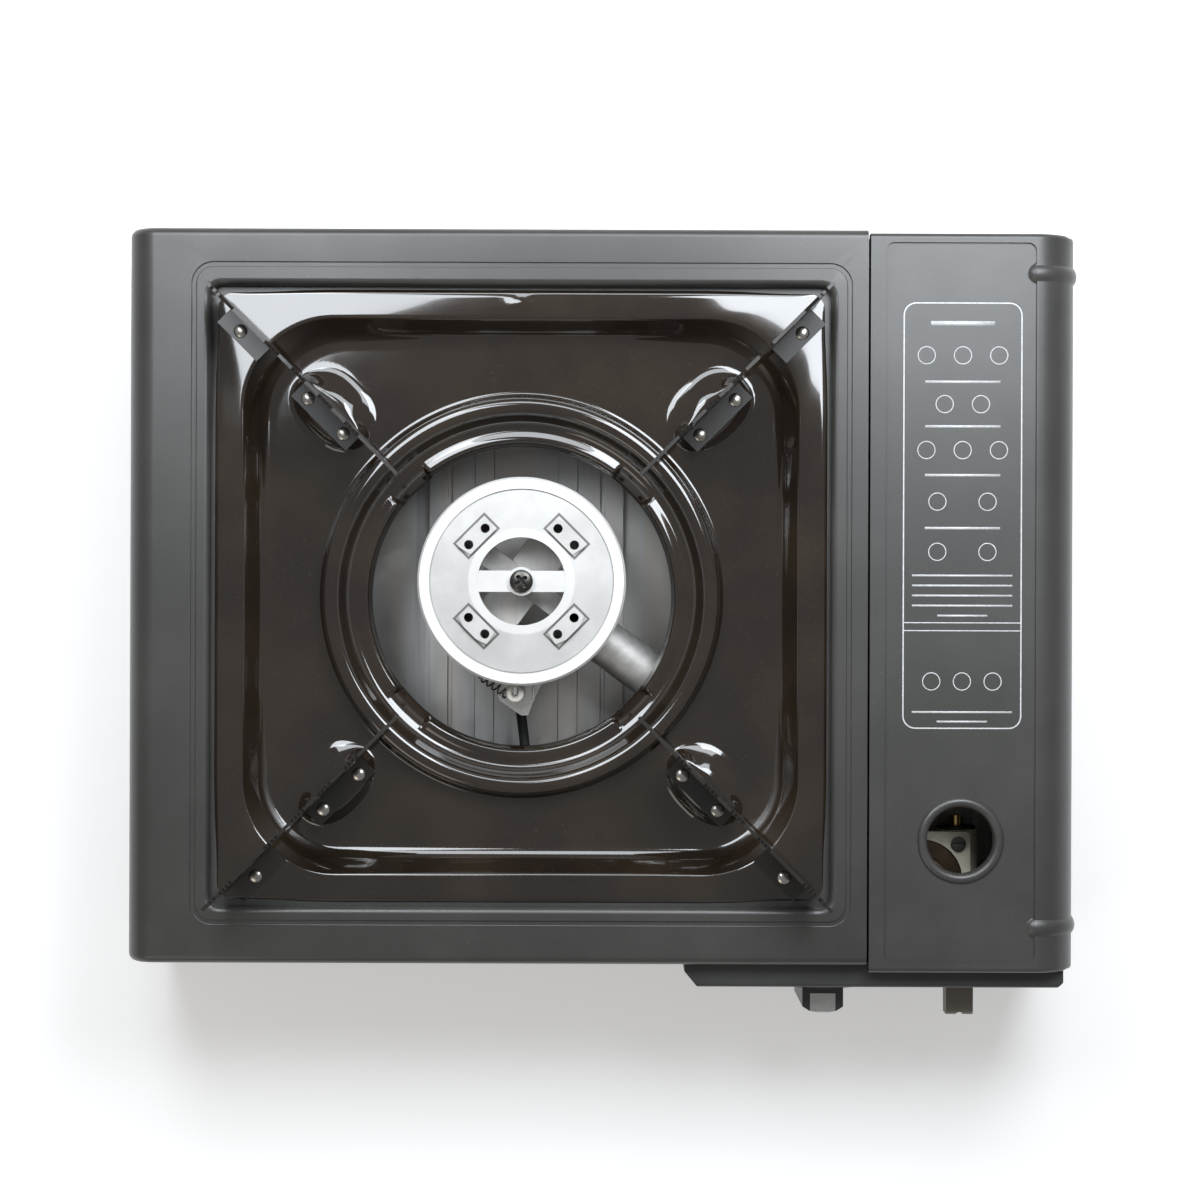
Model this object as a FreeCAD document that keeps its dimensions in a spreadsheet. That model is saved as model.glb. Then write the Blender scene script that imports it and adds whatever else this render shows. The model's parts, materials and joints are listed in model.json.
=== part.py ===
import FreeCAD, Part
import Sketcher
import math
import os
import re

# Butane cassette stove: a pressed steel case with a burner and a loose drip pan
# on the left, and a cartridge bay under a hinged lid on the right.
# +X right, +Y to the rear, +Z up, origin under the middle of the case.

V = FreeCAD.Vector
Turn = FreeCAD.Rotation
DOC = FreeCAD.newDocument("cassette_stove")

# Driving dimensions in millimetres and degrees
SIZES = {
    # Case
    "shell_width": 266.0,
    "bay_width": 77.0,
    "body_depth": 264.0,
    "body_height": 78.0,
    "foot_height": 6.0,
    "foot_radius": 9.0,
    "foot_inset": 18.0,
    "sheet": 0.8,
    "nest_gap": 0.3,
    "seam_gap": 0.8,
    "side_bend": 10.0,
    "wall_bend": 3.0,
    "flange_drop": 10.0,
    "tray_rim": 8.0,
    "bead_left": 23.3,
    "bead_right": 5.7,
    "bead_front": 13.8,
    "bead_rear": 12.2,
    "bead_width": 2.0,
    "bead_height": 0.7,
    "bead_corner": 8.0,
    "vent_width": 4.0,
    "vent_length": 26.0,
    "vent_pitch": 12.0,
    # Opening for the drip pan
    "pan_from_left": 141.5,
    "pan_from_front": 132.0,
    "opening_width": 223.0,
    "opening_corner": 4.0,
    "opening_lip": 2.4,
    "ledge_drop": 6.0,
    "ledge_width": 5.0,
    # Drip pan
    "pan_gap": 1.0,
    "pan_sheet": 0.8,
    "pan_corner": 3.5,
    "pan_band": 11.5,
    "pan_recess_corner": 34.0,
    "pan_slope": 7.2,
    "pan_floor_corner": 27.0,
    "pan_depth": 8.8,
    "collar_foot": 71.0,
    "collar_crest": 65.0,
    "collar_flat": 1.6,
    "collar_height": 8.0,
    "collar_drop": 12.0,
    "hole_radius": 54.5,
    "bump_radius": 96.0,
    "bump_length": 34.0,
    "bump_width": 23.5,
    "bump_height": 5.0,
    # Pot supports
    "support_rise": 24.0,
    "arm_sheet": 1.2,
    "arm_inner": 60.0,
    "arm_outer": 150.5,
    "arm_stop": 5.0,
    "arm_tip_depth": 9.0,
    "arm_web": 15.0,
    "inner_foot_start": 82.0,
    "inner_foot_end": 110.0,
    "outer_foot_start": 127.0,
    "outer_foot_end": 147.0,
    "foot_flange": 7.3,
    "tooth_pitch": 1.7,
    "tooth_depth": 1.0,
    "tooth_group": 13.2,
    "rivet_radius": 1.5,
    "rivet_head": 2.4,
    "rivet_rise": 1.1,
    # Burner
    "gas_height": 36.2,
    "burner_offset": 5.5,
    "cap_radius": 38.0,
    "cap_height": 29.0,
    "cap_rim": 4.3,
    "cap_wall": 3.0,
    "cap_skirt": 5.0,
    "cap_opening": 16.0,
    "cap_lip": 3.0,
    "crossbar_width": 7.7,
    "boss_radius": 5.2,
    "pad_radius": 23.2,
    "pad_length": 14.8,
    "pad_width": 6.9,
    "pad_height": 0.8,
    "pad_hole": 1.7,
    "port_count": 32,
    "port_width": 1.6,
    "bowl_radius": 35.0,
    "bowl_wall": 2.2,
    "tube_angle": 36.5,
    "tube_radius": 8.6,
    "tube_bore": 6.8,
    "injector_reach": 34.66,
    "shutter_wall": 1.0,
    "shutter_length": 13.0,
    "screw_radius": 2.0,
    "screw_head": 4.2,
    "screw_rise": 2.2,
    "bracket_span": 26.0,
    "bracket_width": 16.0,
    # Base shield
    "shield_half": 37.6,
    "shield_length": 142.0,
    "shield_rise": 4.4,
    "groove_at": 29.5,
    "groove_width": 3.2,
    "rib_at": 13.0,
    "rib_width": 6.2,
    "rib_rise": 0.9,
    # Ignition
    "electrode_x": 2.4,
    "electrode_y": 41.0,
    "insulator_radius": 2.35,
    "insulator_length": 18.0,
    "pin_radius": 0.9,
    "cable_radius": 1.9,
    "piezo_length": 24.0,
    "piezo_height": 13.0,
    "piezo_depth": 11.0,
    "piezo_from_knob": 16.8,
    "plunger_radius": 3.5,
    "plunger_reach": 9.6,
    "plunger_tail": 14.0,
    # Gas control
    "knob_from_seam": 13.7,
    "spindle_radius": 4.0,
    "running_gap": 0.04,
    "valve_radius": 9.0,
    "valve_front": 11.0,
    "valve_length": 18.0,
    "cam_hub": 6.0,
    "cam_finger": 5.0,
    "cam_width": 6.0,
    "cam_from_wall": 2.4,
    "panel_sheet": 1.2,
    "panel_left": 65.0,
    "panel_right": 5.0,
    "panel_depth": 9.0,
    "panel_floor": 6.0,
    "panel_height": 64.0,
    "panel_taper_x": 4.7,
    "panel_taper_y": 5.7,
    "knob_reach": 11.5,
    "knob_radius": 21.0,
    "knob_skirt": 2.0,
    "grip_width": 15.0,
    "grip_length": 38.0,
    "insert_width": 9.3,
    "grip_crown": 2.4,
    # Regulator and inlet
    "cartridge_from_side": 39.5,
    "regulator_half": 18.0,
    "regulator_x": 23.5,
    "regulator_y": 27.5,
    "regulator_block": 15.0,
    "flange_above": 8.2,
    "flange_thick": 3.0,
    "diaphragm_thick": 0.8,
    "cover_radius": 15.0,
    "cover_rise": 9.8,
    "cover_flange": 1.6,
    "cover_screw_at": 13.5,
    "cover_step": 1.0,
    "spring_room": 8.0,
    "spring_wire": 1.2,
    "inlet_face": 47.0,
    "inlet_radius": 7.2,
    "seal_thick": 1.2,
    "nozzle_radius": 2.5,
    "nozzle_reach": 4.0,
    # Lever and carriage
    "lever_width": 10.0,
    "lever_reach": 13.0,
    "lever_top": 12.0,
    "lever_pivot_y": 17.0,
    "lever_pivot_z": 3.0,
    "lever_sheet": 2.0,
    "lever_arm": 12.0,
    "pivot_radius": 2.0,
    "drive_radius": 1.5,
    "cheek_x": 14.5,
    "carriage_sheet": 1.2,
    "carriage_face": 54.0,
    "carriage_half": 16.5,
    "collar_opening": 12.0,
    "carriage_foot": 24.0,
    "slot_gap": 0.3,
    "guide_length": 27.0,
    # Lid and bay
    "bay_side_height": 48.5,
    "bay_end_height": 76.0,
    "lid_side_height": 28.0,
    "lid_end_height": 6.0,
    "lid_front_over": 2.5,
    "lid_rear_under": 1.2,
    "bay_rear_under": 2.5,
    "lid_bend": 15.0,
    "lid_edge": 1.8,
    "lid_rib_proud": 1.2,
    "lid_rib_radius": 4.6,
    "lid_rib_rear": 15.5,
    "lid_rib_front": 13.7,
    "recess_left": 5.4,
    "recess_end": 3.4,
    "recess_depth": 1.0,
    "recess_corner": 3.0,
    "window_x": 33.6,
    "window_y": 45.0,
    "window_radius": 12.0,
    "window_ring": 15.6,
    "hinge_inset": 4.5,
    "hinge_height": 24.0,
    "hinge_radius": 1.5,
    "hinge_eye": 3.2,
    "hinge_width": 6.0,
    "cartridge_radius": 34.0,
    "cartridge_length": 186.0,
}

# Places worked out from the driving dimensions
PLACES = {
    "left": "-(shell_width + bay_width) / 2",
    "seam": "left + shell_width",
    "right": "seam + bay_width",
    "front_reach": "panel_depth + max(knob_reach; lever_reach)",
    "rear": "(body_depth + front_reach) / 2",
    "front": "rear - body_depth",
    "floor": "foot_height",
    "top": "foot_height + body_height",
    "tray_top": "floor + sheet",
    "pan_x": "left + pan_from_left",
    "pan_y": "front + pan_from_front",
    "ledge": "top - ledge_drop",
    "pan_top": "ledge + pan_sheet",
    "pan_floor": "pan_top - pan_depth",
    "pan_half": "opening_width / 2 - pan_gap",
    "bump_top": "pan_floor + bump_height",
    "support_top": "top + support_rise",
    "gas_z": "tray_top + gas_height",
    "burner_y": "pan_y + burner_offset",
    "cap_top": "gas_z + cap_height",
    "cap_seat": "cap_top - cap_wall - cap_skirt",
    "bowl_floor": "gas_z + tube_radius + 1",
    "bridge_top": "cap_top - cap_wall - 2",
    "shield_top": "tray_top + shield_rise + sheet",
    "wall_in": "front + sheet",
    "knob_x": "seam - knob_from_seam",
    "panel_x0": "seam - panel_left",
    "panel_x1": "right - panel_right",
    "panel_y": "front - panel_depth",
    "panel_z0": "floor + panel_floor",
    "panel_z1": "panel_z0 + panel_height",
    "knob_back": "panel_y - nest_gap",
    "knob_tip": "panel_y - knob_reach",
    "valve_y": "front + valve_front",
    "cam_y": "wall_in + cam_from_wall",
    "piezo_x1": "knob_x - piezo_from_knob",
    "piezo_x0": "piezo_x1 - piezo_length",
    "piezo_y": "wall_in + piezo_depth / 2",
    "electrode_px": "pan_x - electrode_x",
    "electrode_py": "burner_y - electrode_y",
    "pin_top": "cap_top - 5",
    "inlet_x": "right - cartridge_from_side",
    "inlet_y": "front + inlet_face",
    "reg_x": "seam + regulator_x",
    "reg_y": "front + regulator_y",
    "tube_length": "(reg_x - injector_reach - pan_x) / cos(tube_angle)",
    "reg_z0": "gas_z - 9",
    "reg_z1": "gas_z + flange_above",
    "cover_z0": "reg_z1 + diaphragm_thick",
    "cover_z1": "cover_z0 + cover_rise",
    "pivot_y": "front + lever_pivot_y",
    "pivot_z": "gas_z + lever_pivot_z",
    "lever_tip": "panel_y - lever_reach",
    "lever_z1": "gas_z + lever_top",
    "cheek_x0": "inlet_x + cheek_x",
    "carriage_y": "front + carriage_face",
    "lid_left": "seam + seam_gap",
    "lid_side": "right - lid_rib_proud",
    "lid_front": "front - lid_front_over",
    "lid_rear": "rear - lid_rear_under",
    "bay_side": "lid_side",
    "bay_rear": "rear - bay_rear_under",
    "bay_side_top": "floor + bay_side_height",
    "bay_end_top": "floor + bay_end_height",
    "partition_x": "seam - sheet - nest_gap - sheet",
    "hinge_x": "right - hinge_inset",
    "hinge_z": "top - hinge_height",
    "hinge_rear": "rear - lid_rib_rear",
    "hinge_front": "front + lid_rib_front",
}


def bound(text, own_sheet=False):
    """Put the sheet's name before each alias in an expression."""
    def full(match):
        word = match.group()
        if word in SIZES:
            return "Sizes." + word
        if word in PLACES and not own_sheet:
            return "Places." + word
        return word
    return re.sub(r"[a-z][a-z_0-9]*", full, str(text))


def fill_sheet(name, cells):
    """Write one alias and its content per row."""
    sheet = DOC.addObject("Spreadsheet::Sheet", name)
    for row, (alias, content) in enumerate(cells.items(), start=1):
        formula = isinstance(content, str)
        sheet.set("A%d" % row, alias)
        sheet.set("B%d" % row, "=" + bound(content, True) if formula else str(content))
        sheet.setAlias("B%d" % row, alias)
    return sheet


SIZE_SHEET = fill_sheet("Sizes", SIZES)
DOC.recompute()
PLACE_SHEET = fill_sheet("Places", PLACES)
DOC.recompute()


def number(text):
    """Value of an expression now."""
    return float(PLACE_SHEET.evalExpression(bound(text)))


def drive(item, **fields):
    """Bind properties to expressions; a double underscore stands for a dot."""
    for key, text in fields.items():
        item.setExpression(key.replace("__", "."), bound(text))
    return item


# Sketches and PartDesign features


def new_body(name):
    body = DOC.addObject("PartDesign::Body", name)
    body.Label = name
    return body


def sketch_on(body, role, offset="0"):
    """Sketch on one of the body's own origin planes, moved along its normal."""
    sketch = body.newObject("Sketcher::SketchObject", body.Name + "_sketch")
    plane = [f for f in body.Origin.OriginFeatures if f.Role == role][0]
    sketch.AttachmentSupport = [(plane, "")]
    sketch.MapMode = "FlatFace"
    sketch.setExpression(".AttachmentOffset.Base.z", bound(offset))
    return sketch


def tie(sketch, kind, where, text):
    """One dimension of a sketch, bound to an expression."""
    index = sketch.addConstraint(Sketcher.Constraint(kind, *where, number(text)))
    sketch.setExpression("Constraints[%d]" % index, bound(text))


def tie_point(sketch, line, end, spot):
    tie(sketch, "DistanceX", (-1, 1, line, end), spot[0])
    tie(sketch, "DistanceY", (-1, 1, line, end), spot[1])


def flat(spot):
    return V(number(spot[0]), number(spot[1]), 0)


def polygon(sketch, spots):
    """Closed outline of straight lines through bound points."""
    first = sketch.GeometryCount
    count = len(spots)
    for i in range(count):
        sketch.addGeometry(Part.LineSegment(flat(spots[i]), flat(spots[(i + 1) % count])))
    for i in range(count):
        joint = (first + i, 2, first + (i + 1) % count, 1)
        sketch.addConstraint(Sketcher.Constraint("Coincident", *joint))
        tie_point(sketch, first + i, 1, spots[i])
    return sketch


def circle(sketch, x, y, radius):
    ring = sketch.addGeometry(Part.Circle(flat((x, y)), V(0, 0, 1), number(radius)))
    tie_point(sketch, ring, 3, (x, y))
    tie(sketch, "Radius", (ring,), radius)
    return sketch


def rounded(sketch, x0, y0, x1, y1, radius):
    """Rectangle with four arcs of one radius."""
    low = (x0, y0)
    high = (x1, y1)
    r = "(%s)" % radius
    x_in = ("%s + %s" % (low[0], r), "%s - %s" % (high[0], r))
    y_in = ("%s + %s" % (low[1], r), "%s - %s" % (high[1], r))
    runs = [((x_in[0], low[1]), (x_in[1], low[1])),
            ((high[0], y_in[0]), (high[0], y_in[1])),
            ((x_in[1], high[1]), (x_in[0], high[1])),
            ((low[0], y_in[1]), (low[0], y_in[0]))]
    centres = [(x_in[1], y_in[0]), (x_in[1], y_in[1]), (x_in[0], y_in[1]), (x_in[0], y_in[0])]
    first = sketch.GeometryCount
    for i in range(4):
        sketch.addGeometry(Part.LineSegment(flat(runs[i][0]), flat(runs[i][1])))
        whole = Part.Circle(flat(centres[i]), V(0, 0, 1), number(radius))
        start = math.radians(90 * i - 90)
        sketch.addGeometry(Part.ArcOfCircle(whole, start, start + math.pi / 2))
    for i in range(4):
        line = first + 2 * i
        arc = line + 1
        after = first + (2 * i + 2) % 8
        tie_point(sketch, line, 1, runs[i][0])
        tie_point(sketch, line, 2, runs[i][1])
        sketch.addConstraint(Sketcher.Constraint("Coincident", line, 2, arc, 1))
        sketch.addConstraint(Sketcher.Constraint("Coincident", arc, 2, after, 1))
        tie(sketch, "Radius", (arc,), radius)
    return sketch


def feature(body, kind, profile, **fields):
    item = body.newObject("PartDesign::" + kind, body.Name + "_" + kind.lower())
    item.Profile = profile
    drive(item, **fields)
    return item


def pad(body, profile, length, back=False):
    item = feature(body, "Pad", profile, Length=length)
    item.Reversed = back
    return item


def pocket(body, profile, depth=None, back=False):
    """Cut along the sketch's normal's far side; through everything with no depth."""
    if depth is None:
        item = feature(body, "Pocket", profile)
        item.Type = "ThroughAll"
    else:
        item = feature(body, "Pocket", profile, Length=depth)
    item.Reversed = back
    return item


def revolve(body, profile, kind="Revolution"):
    item = feature(body, kind, profile)
    item.ReferenceAxis = (profile, ["V_Axis"])
    item.Angle = 360
    return item


def at(**levels):
    """Test whether an edge or face lies wholly at the given levels."""
    limits = [(axis.upper(), number(text)) for axis, text in levels.items()]

    def test(piece):
        box = piece.BoundBox
        return all(abs(getattr(box, axis + "Min") - level) < 0.002
                   and abs(getattr(box, axis + "Max") - level) < 0.002
                   for axis, level in limits)
    return test


def soften(body, size, *tests, kind="Fillet"):
    """Round or bevel the edges of the body's last feature that pass a test."""
    DOC.recompute()
    base = body.Tip
    names = ["Edge%d" % (i + 1) for i, edge in enumerate(base.Shape.Edges)
             if any(test(edge) for test in tests)]
    item = body.newObject("PartDesign::" + kind, body.Name + "_" + kind.lower())
    item.Base = (base, names)
    drive(item, **{"Radius" if kind == "Fillet" else "Size": size})
    return item


def hollow(body, wall, *tests):
    """Turn the solid into sheet of one thickness, open at the faces that pass."""
    DOC.recompute()
    base = body.Tip
    names = ["Face%d" % (i + 1) for i, face in enumerate(base.Shape.Faces)
             if any(test(face) for test in tests)]
    item = body.newObject("PartDesign::Thickness", body.Name + "_sheet")
    item.Base = (base, names)
    item.Reversed = True
    item.Join = 0
    drive(item, Value=wall)
    return item


def slab(name, role, offset, length, spots, back=False):
    """Body made by one pad of a straight-sided outline."""
    body = new_body(name)
    pad(body, polygon(sketch_on(body, role, offset), spots), length, back)
    return body


# Part primitives and booleans

ALONG = {"x": Turn(V(0, 1, 0), 90), "y": Turn(V(1, 0, 0), -90), "z": Turn()}


def move(item, x, y, z):
    return drive(item, Placement__Base__x=x, Placement__Base__y=y, Placement__Base__z=z)


def box(name, x0, y0, z0, x1, y1, z1):
    """Block between two corners."""
    item = DOC.addObject("Part::Box", name)
    drive(item, Length="(%s) - (%s)" % (x1, x0), Width="(%s) - (%s)" % (y1, y0),
          Height="(%s) - (%s)" % (z1, z0))
    return move(item, x0, y0, z0)


def rod(name, axis, x, y, z, radius, length):
    """Cylinder from a point along a positive axis."""
    item = DOC.addObject("Part::Cylinder", name)
    drive(item, Radius=radius, Height=length)
    item.Placement = FreeCAD.Placement(V(), ALONG[axis])
    return move(item, x, y, z)


def ball(name, x, y, z, radius):
    item = DOC.addObject("Part::Sphere", name)
    drive(item, Radius=radius)
    return move(item, x, y, z)


def fuse(name, *pieces):
    item = DOC.addObject("Part::MultiFuse", name)
    item.Shapes = list(pieces)
    item.Refine = True
    return item


def cut(name, base, *tools):
    """Base less all the tools."""
    item = DOC.addObject("Part::Cut", name)
    item.Base = base
    item.Tool = tools[0] if len(tools) == 1 else fuse(name + "_tools", *tools)
    item.Refine = True
    return item


def common(name, base, tool):
    item = DOC.addObject("Part::Common", name)
    item.Base = base
    item.Tool = tool
    return item


def group(name, pieces):
    """Several solids that share one node."""
    item = DOC.addObject("Part::Compound", name)
    item.Links = list(pieces)
    return item


def swing(item, x, y, angle):
    """Place a piece made about the Z axis at a point, turned by an angle."""
    item.Placement = FreeCAD.Placement(V(), Turn(V(0, 0, 1), number(angle)))
    return drive(item, Placement__Base__x=x, Placement__Base__y=y,
                 Placement__Rotation__Angle=angle)


def round_box(name, x0, y0, x1, y1, z0, z1, radius):
    """Block with rounded upright corners."""
    body = new_body(name)
    profile = rounded(sketch_on(body, "XY_Plane", z0), x0, y0, x1, y1, radius)
    pad(body, profile, "(%s) - (%s)" % (z1, z0))
    return body


PIECES = {}


def keep(node, item):
    """Register a finished piece under its node name."""
    item.Label = node
    PIECES[node] = item
    return item


# Case


def make_top_shell():
    """Pressed cover: one large bend on the left, a rimmed square well for the pan."""
    shell = new_body("shell_form")
    outline = [("left", "floor"), ("seam", "floor"), ("seam", "top"), ("left", "top")]
    pad(shell, polygon(sketch_on(shell, "XZ_Plane", "-rear"), outline), "body_depth")
    soften(shell, "side_bend", at(x="left", z="top"))
    soften(shell, "wall_bend", at(y="front", z="top"), at(y="rear", z="top"))
    half = "opening_width / 2"
    well = ("pan_x - " + half, "pan_y - " + half, "pan_x + " + half, "pan_y + " + half)
    pocket(shell, rounded(sketch_on(shell, "XY_Plane", "top"), *well, "opening_corner"), "ledge_drop")

    def on_lip(edge):
        spot = edge.BoundBox.Center
        flat_edge = at(z="top")(edge)
        near_x = abs(spot.x - number("pan_x")) < number(half) + 1
        near_y = abs(spot.y - number("pan_y")) < number(half) + 1
        return flat_edge and near_x and near_y
    soften(shell, "opening_lip", on_lip)
    hollow(shell, "sheet", at(z="floor"), at(x="seam"))
    inner = "(opening_width / 2 - ledge_width)"
    clear = ("pan_x - " + inner, "pan_y - " + inner, "pan_x + " + inner, "pan_y + " + inner)
    pocket(shell, rounded(sketch_on(shell, "XY_Plane", "ledge"), *clear, "opening_corner"),
           "ledge_drop")
    flange = [("seam - sheet", "front + wall_bend"), ("seam", "front + wall_bend"),
              ("seam", "rear - wall_bend"), ("seam - sheet", "rear - wall_bend")]
    pad(shell, polygon(sketch_on(shell, "XY_Plane", "top - flange_drop"), flange), "flange_drop")
    ring = sketch_on(shell, "XY_Plane", "top - sheet / 2")
    edge = ("left + bead_left", "front + bead_front", "seam - bead_right", "rear - bead_rear")
    rounded(ring, *edge, "bead_corner")
    rounded(ring, edge[0] + " + bead_width", edge[1] + " + bead_width", edge[2] + " - bead_width",
            edge[3] + " - bead_width", "bead_corner - bead_width")
    pad(shell, ring, "bead_height + sheet / 2")
    soften(shell, "bead_height * 0.6", at(z="top + bead_height"))
    spindle = sketch_on(shell, "XZ_Plane", "-front - sheet * 2")
    circle(spindle, "knob_x", "gas_z", "spindle_radius + 2")
    pocket(shell, spindle, "sheet * 3", back=True)
    slots = sketch_on(shell, "YZ_Plane", "left - sheet")
    for i in range(7):
        middle = "pan_y + %d * vent_pitch" % (i - 3)
        rounded(slots, middle + " - vent_width / 2", "floor + 20", middle + " + vent_width / 2",
                "floor + 20 + vent_length", "vent_width / 2 - 0.1")
    pocket(shell, slots, "sheet * 3", back=True)
    keep("top_shell", shell)


def make_base_plate():
    """Shallow tray that closes the case from below, with air slots under the burner."""
    tray = round_box("tray_form", "left + sheet + nest_gap", "front + sheet + nest_gap",
                     "bay_side - sheet - nest_gap", "bay_rear - sheet - nest_gap",
                     "floor", "floor + tray_rim", "wall_bend - sheet")
    hollow(tray, "sheet", at(z="floor + tray_rim"))
    slots = sketch_on(tray, "XY_Plane", "tray_top + sheet")
    for side in (-1, 1):
        for i in range(4):
            middle = "pan_x + %d * (shield_half + 14 + %d * vent_pitch)" % (side, i)
            rounded(slots, middle + " - vent_width / 2", "pan_y - vent_length",
                    middle + " + vent_width / 2", "pan_y + vent_length", "vent_width / 2 - 0.1")
    pocket(tray, slots, "sheet * 3")
    keep("base_plate", tray)


def corner_spots():
    xs = ("left + foot_inset", "bay_side - foot_inset")
    ys = ("front + foot_inset", "bay_rear - foot_inset")
    return [(x, y) for x in xs for y in ys]


def make_feet():
    """Four rubber feet, each recessed for its screw."""
    feet = []
    screws = []
    for i, (x, y) in enumerate(corner_spots()):
        tag = str(i)
        block = rod("foot_block" + tag, "z", x, y, "0", "foot_radius", "foot_height")
        well = rod("foot_well" + tag, "z", x, y, "0", "screw_head + 1", "foot_height / 2")
        bore = rod("foot_bore" + tag, "z", x, y, "0", "screw_radius", "foot_height")
        feet.append(cut("foot_cut" + tag, block, well, bore))
        head = rod("foot_screw_head" + tag, "z", x, y, "foot_height / 2 - screw_rise", "screw_head",
                   "screw_rise")
        shank = rod("foot_screw_shank" + tag, "z", x, y, "foot_height / 2", "screw_radius",
                    "foot_height / 2 + sheet")
        screws.append(fuse("foot_screw" + tag, head, shank))
    keep("feet", group("feet", feet))
    keep("foot_screws", group("foot_screws", screws))
    holes = [rod("tray_hole%d" % i, "z", x, y, "floor - 1", "screw_radius", "sheet + 2")
             for i, (x, y) in enumerate(corner_spots())]
    keep("base_plate", cut("base_plate", PIECES["base_plate"], *holes))


def make_bay_wall():
    """Strip round three sides of the cartridge bay, low on the side that the lid covers."""
    wall = new_body("bay_form")
    z1 = "bay_end_top"
    outline = [("seam + nest_gap", "floor"), ("bay_side", "floor"), ("bay_side", z1),
               ("seam + nest_gap", z1)]
    pad(wall, polygon(sketch_on(wall, "XZ_Plane", "-bay_rear"), outline), "bay_rear - front")
    soften(wall, "wall_bend", at(x="bay_side", y="front"), at(x="bay_side", y="bay_rear"))
    hollow(wall, "sheet", at(z="floor"), at(z=z1), at(x="seam + nest_gap"))
    opening = [("hinge_x - 5", "bay_side_top"), ("right + 1", "bay_side_top"),
               ("right + 1", z1 + " + 1"), ("lid_side - lid_bend - 2", z1 + " + 1"),
               ("lid_side - lid_bend - 2", z1 + " - 1"), ("hinge_x - 5", "top - 9")]
    pocket(wall, polygon(sketch_on(wall, "XZ_Plane", "-rear - 1"), opening), None, back=True)
    lever = [("inlet_x - lever_width / 2 + 1", "gas_z - 6"),
             ("inlet_x + lever_width / 2 - 1", "gas_z - 6"),
             ("inlet_x + lever_width / 2 - 1", "gas_z + 12"),
             ("inlet_x - lever_width / 2 + 1", "gas_z + 12")]
    pocket(wall, polygon(sketch_on(wall, "XZ_Plane", "-front - sheet * 2"), lever), "sheet * 3",
           back=True)
    flange = [("seam", "top - lid_end_height - nest_gap"),
              ("lid_left + sheet + nest_gap", "top - lid_end_height - nest_gap"),
              ("lid_left + sheet + nest_gap", z1 + " + 1"), ("seam", z1 + " + 1")]
    pocket(wall, polygon(sketch_on(wall, "XZ_Plane", "-rear - 1"), flange), None, back=True)
    keep("bay_wall", wall)


def make_partition():
    """Upright plate between the burner and the cartridge, open at the gas control."""
    y0 = "front + 61"
    y1 = "bay_rear - sheet - nest_gap - sheet"
    plate = box("partition_blank", "partition_x", y0, "tray_top", "partition_x + sheet", y1,
                "top - sheet")
    foot = box("partition_foot", "partition_x - 10", y0, "tray_top", "partition_x", y1,
               "tray_top + sheet")
    cuts = []
    for i in range(6):
        y = "pan_y + %d * vent_pitch * 2" % (i - 2)
        cuts.append(box("partition_vent%d" % i, "partition_x - 1", y, "top - 22",
                        "partition_x + sheet + 1", y + " + vent_pitch", "top - 22 + vent_width"))
    keep("partition_plate", cut("partition_plate", fuse("partition_form", plate, foot), *cuts))


def make_heat_shield():
    """Bright plate under the burner, stood off the tray on its turned-down edges."""
    z = "shield_top"
    low = z + " - sheet"
    x = "pan_x"
    out = "shield_half"
    deep = z + " - sheet - 1.4"
    half = [("groove_at + groove_width / 2", low), ("groove_at + groove_width / 2", deep),
            ("groove_at - groove_width / 2", deep), ("groove_at - groove_width / 2", low),
            ("rib_at + rib_width", low), ("rib_at + rib_width", low + " + rib_rise"),
            ("rib_at", low + " + rib_rise"), ("rib_at", low)]
    under = [("%s + %s" % (x, out), "tray_top"), ("%s + %s - sheet" % (x, out), "tray_top"),
             ("%s + %s - sheet" % (x, out), low)]
    under += [("%s + %s" % (x, u), w) for u, w in half]
    under += [("%s - (%s)" % (x, u), w) for u, w in reversed(half)]
    under += [("%s - %s + sheet" % (x, out), low), ("%s - %s + sheet" % (x, out), "tray_top"),
              ("%s - %s" % (x, out), "tray_top")]
    upper = [("groove_at - groove_width / 2 + sheet", z), ("groove_at - groove_width / 2 + sheet",
                                                           deep + " + sheet"),
             ("groove_at + groove_width / 2 - sheet", deep + " + sheet"),
             ("groove_at + groove_width / 2 - sheet", z)]
    upper = [("rib_at - 0.6", z), ("rib_at - 0.6", z + " + rib_rise"),
             ("rib_at + rib_width + 0.6", z + " + rib_rise"), ("rib_at + rib_width + 0.6", z)] + upper
    over = [("%s - %s" % (x, out), z)]
    over += [("%s - (%s)" % (x, u), w) for u, w in reversed(upper)]
    over += [("%s + %s" % (x, u), w) for u, w in upper]
    over += [("%s + %s" % (x, out), z)]
    shield = slab("heat_shield", "XZ_Plane", "-(burner_y + shield_length / 2)", "shield_length",
                  under + over)
    keep("heat_shield", shield)


def make_control_panel():
    """Moulded front panel with a knob hole and a lever slot, open to the rear."""
    panel = new_body("panel_form")
    plan = [("panel_x0", "front"), ("panel_x0", "panel_y + panel_taper_y"),
            ("panel_x0 + panel_taper_x", "panel_y"), ("panel_x1 - 2", "panel_y"),
            ("panel_x1", "panel_y + 2"), ("panel_x1", "front")]
    pad(panel, polygon(sketch_on(panel, "XY_Plane", "panel_z0"), plan), "panel_height")
    soften(panel, "1.5", at(y="panel_y", z="panel_z1"), at(y="panel_y", z="panel_z0"))
    hollow(panel, "panel_sheet", at(y="front"))
    holes = sketch_on(panel, "XZ_Plane", "-panel_y - panel_sheet * 2")
    circle(holes, "knob_x", "gas_z", "spindle_radius + 2")
    slot = ("inlet_x - lever_width / 2 - 1", "gas_z - 16", "inlet_x + lever_width / 2 + 1",
            "gas_z + 14")
    rounded(holes, *slot, "1")
    pocket(panel, holes, "panel_sheet * 3", back=True)
    keep("control_panel", panel)


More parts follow.
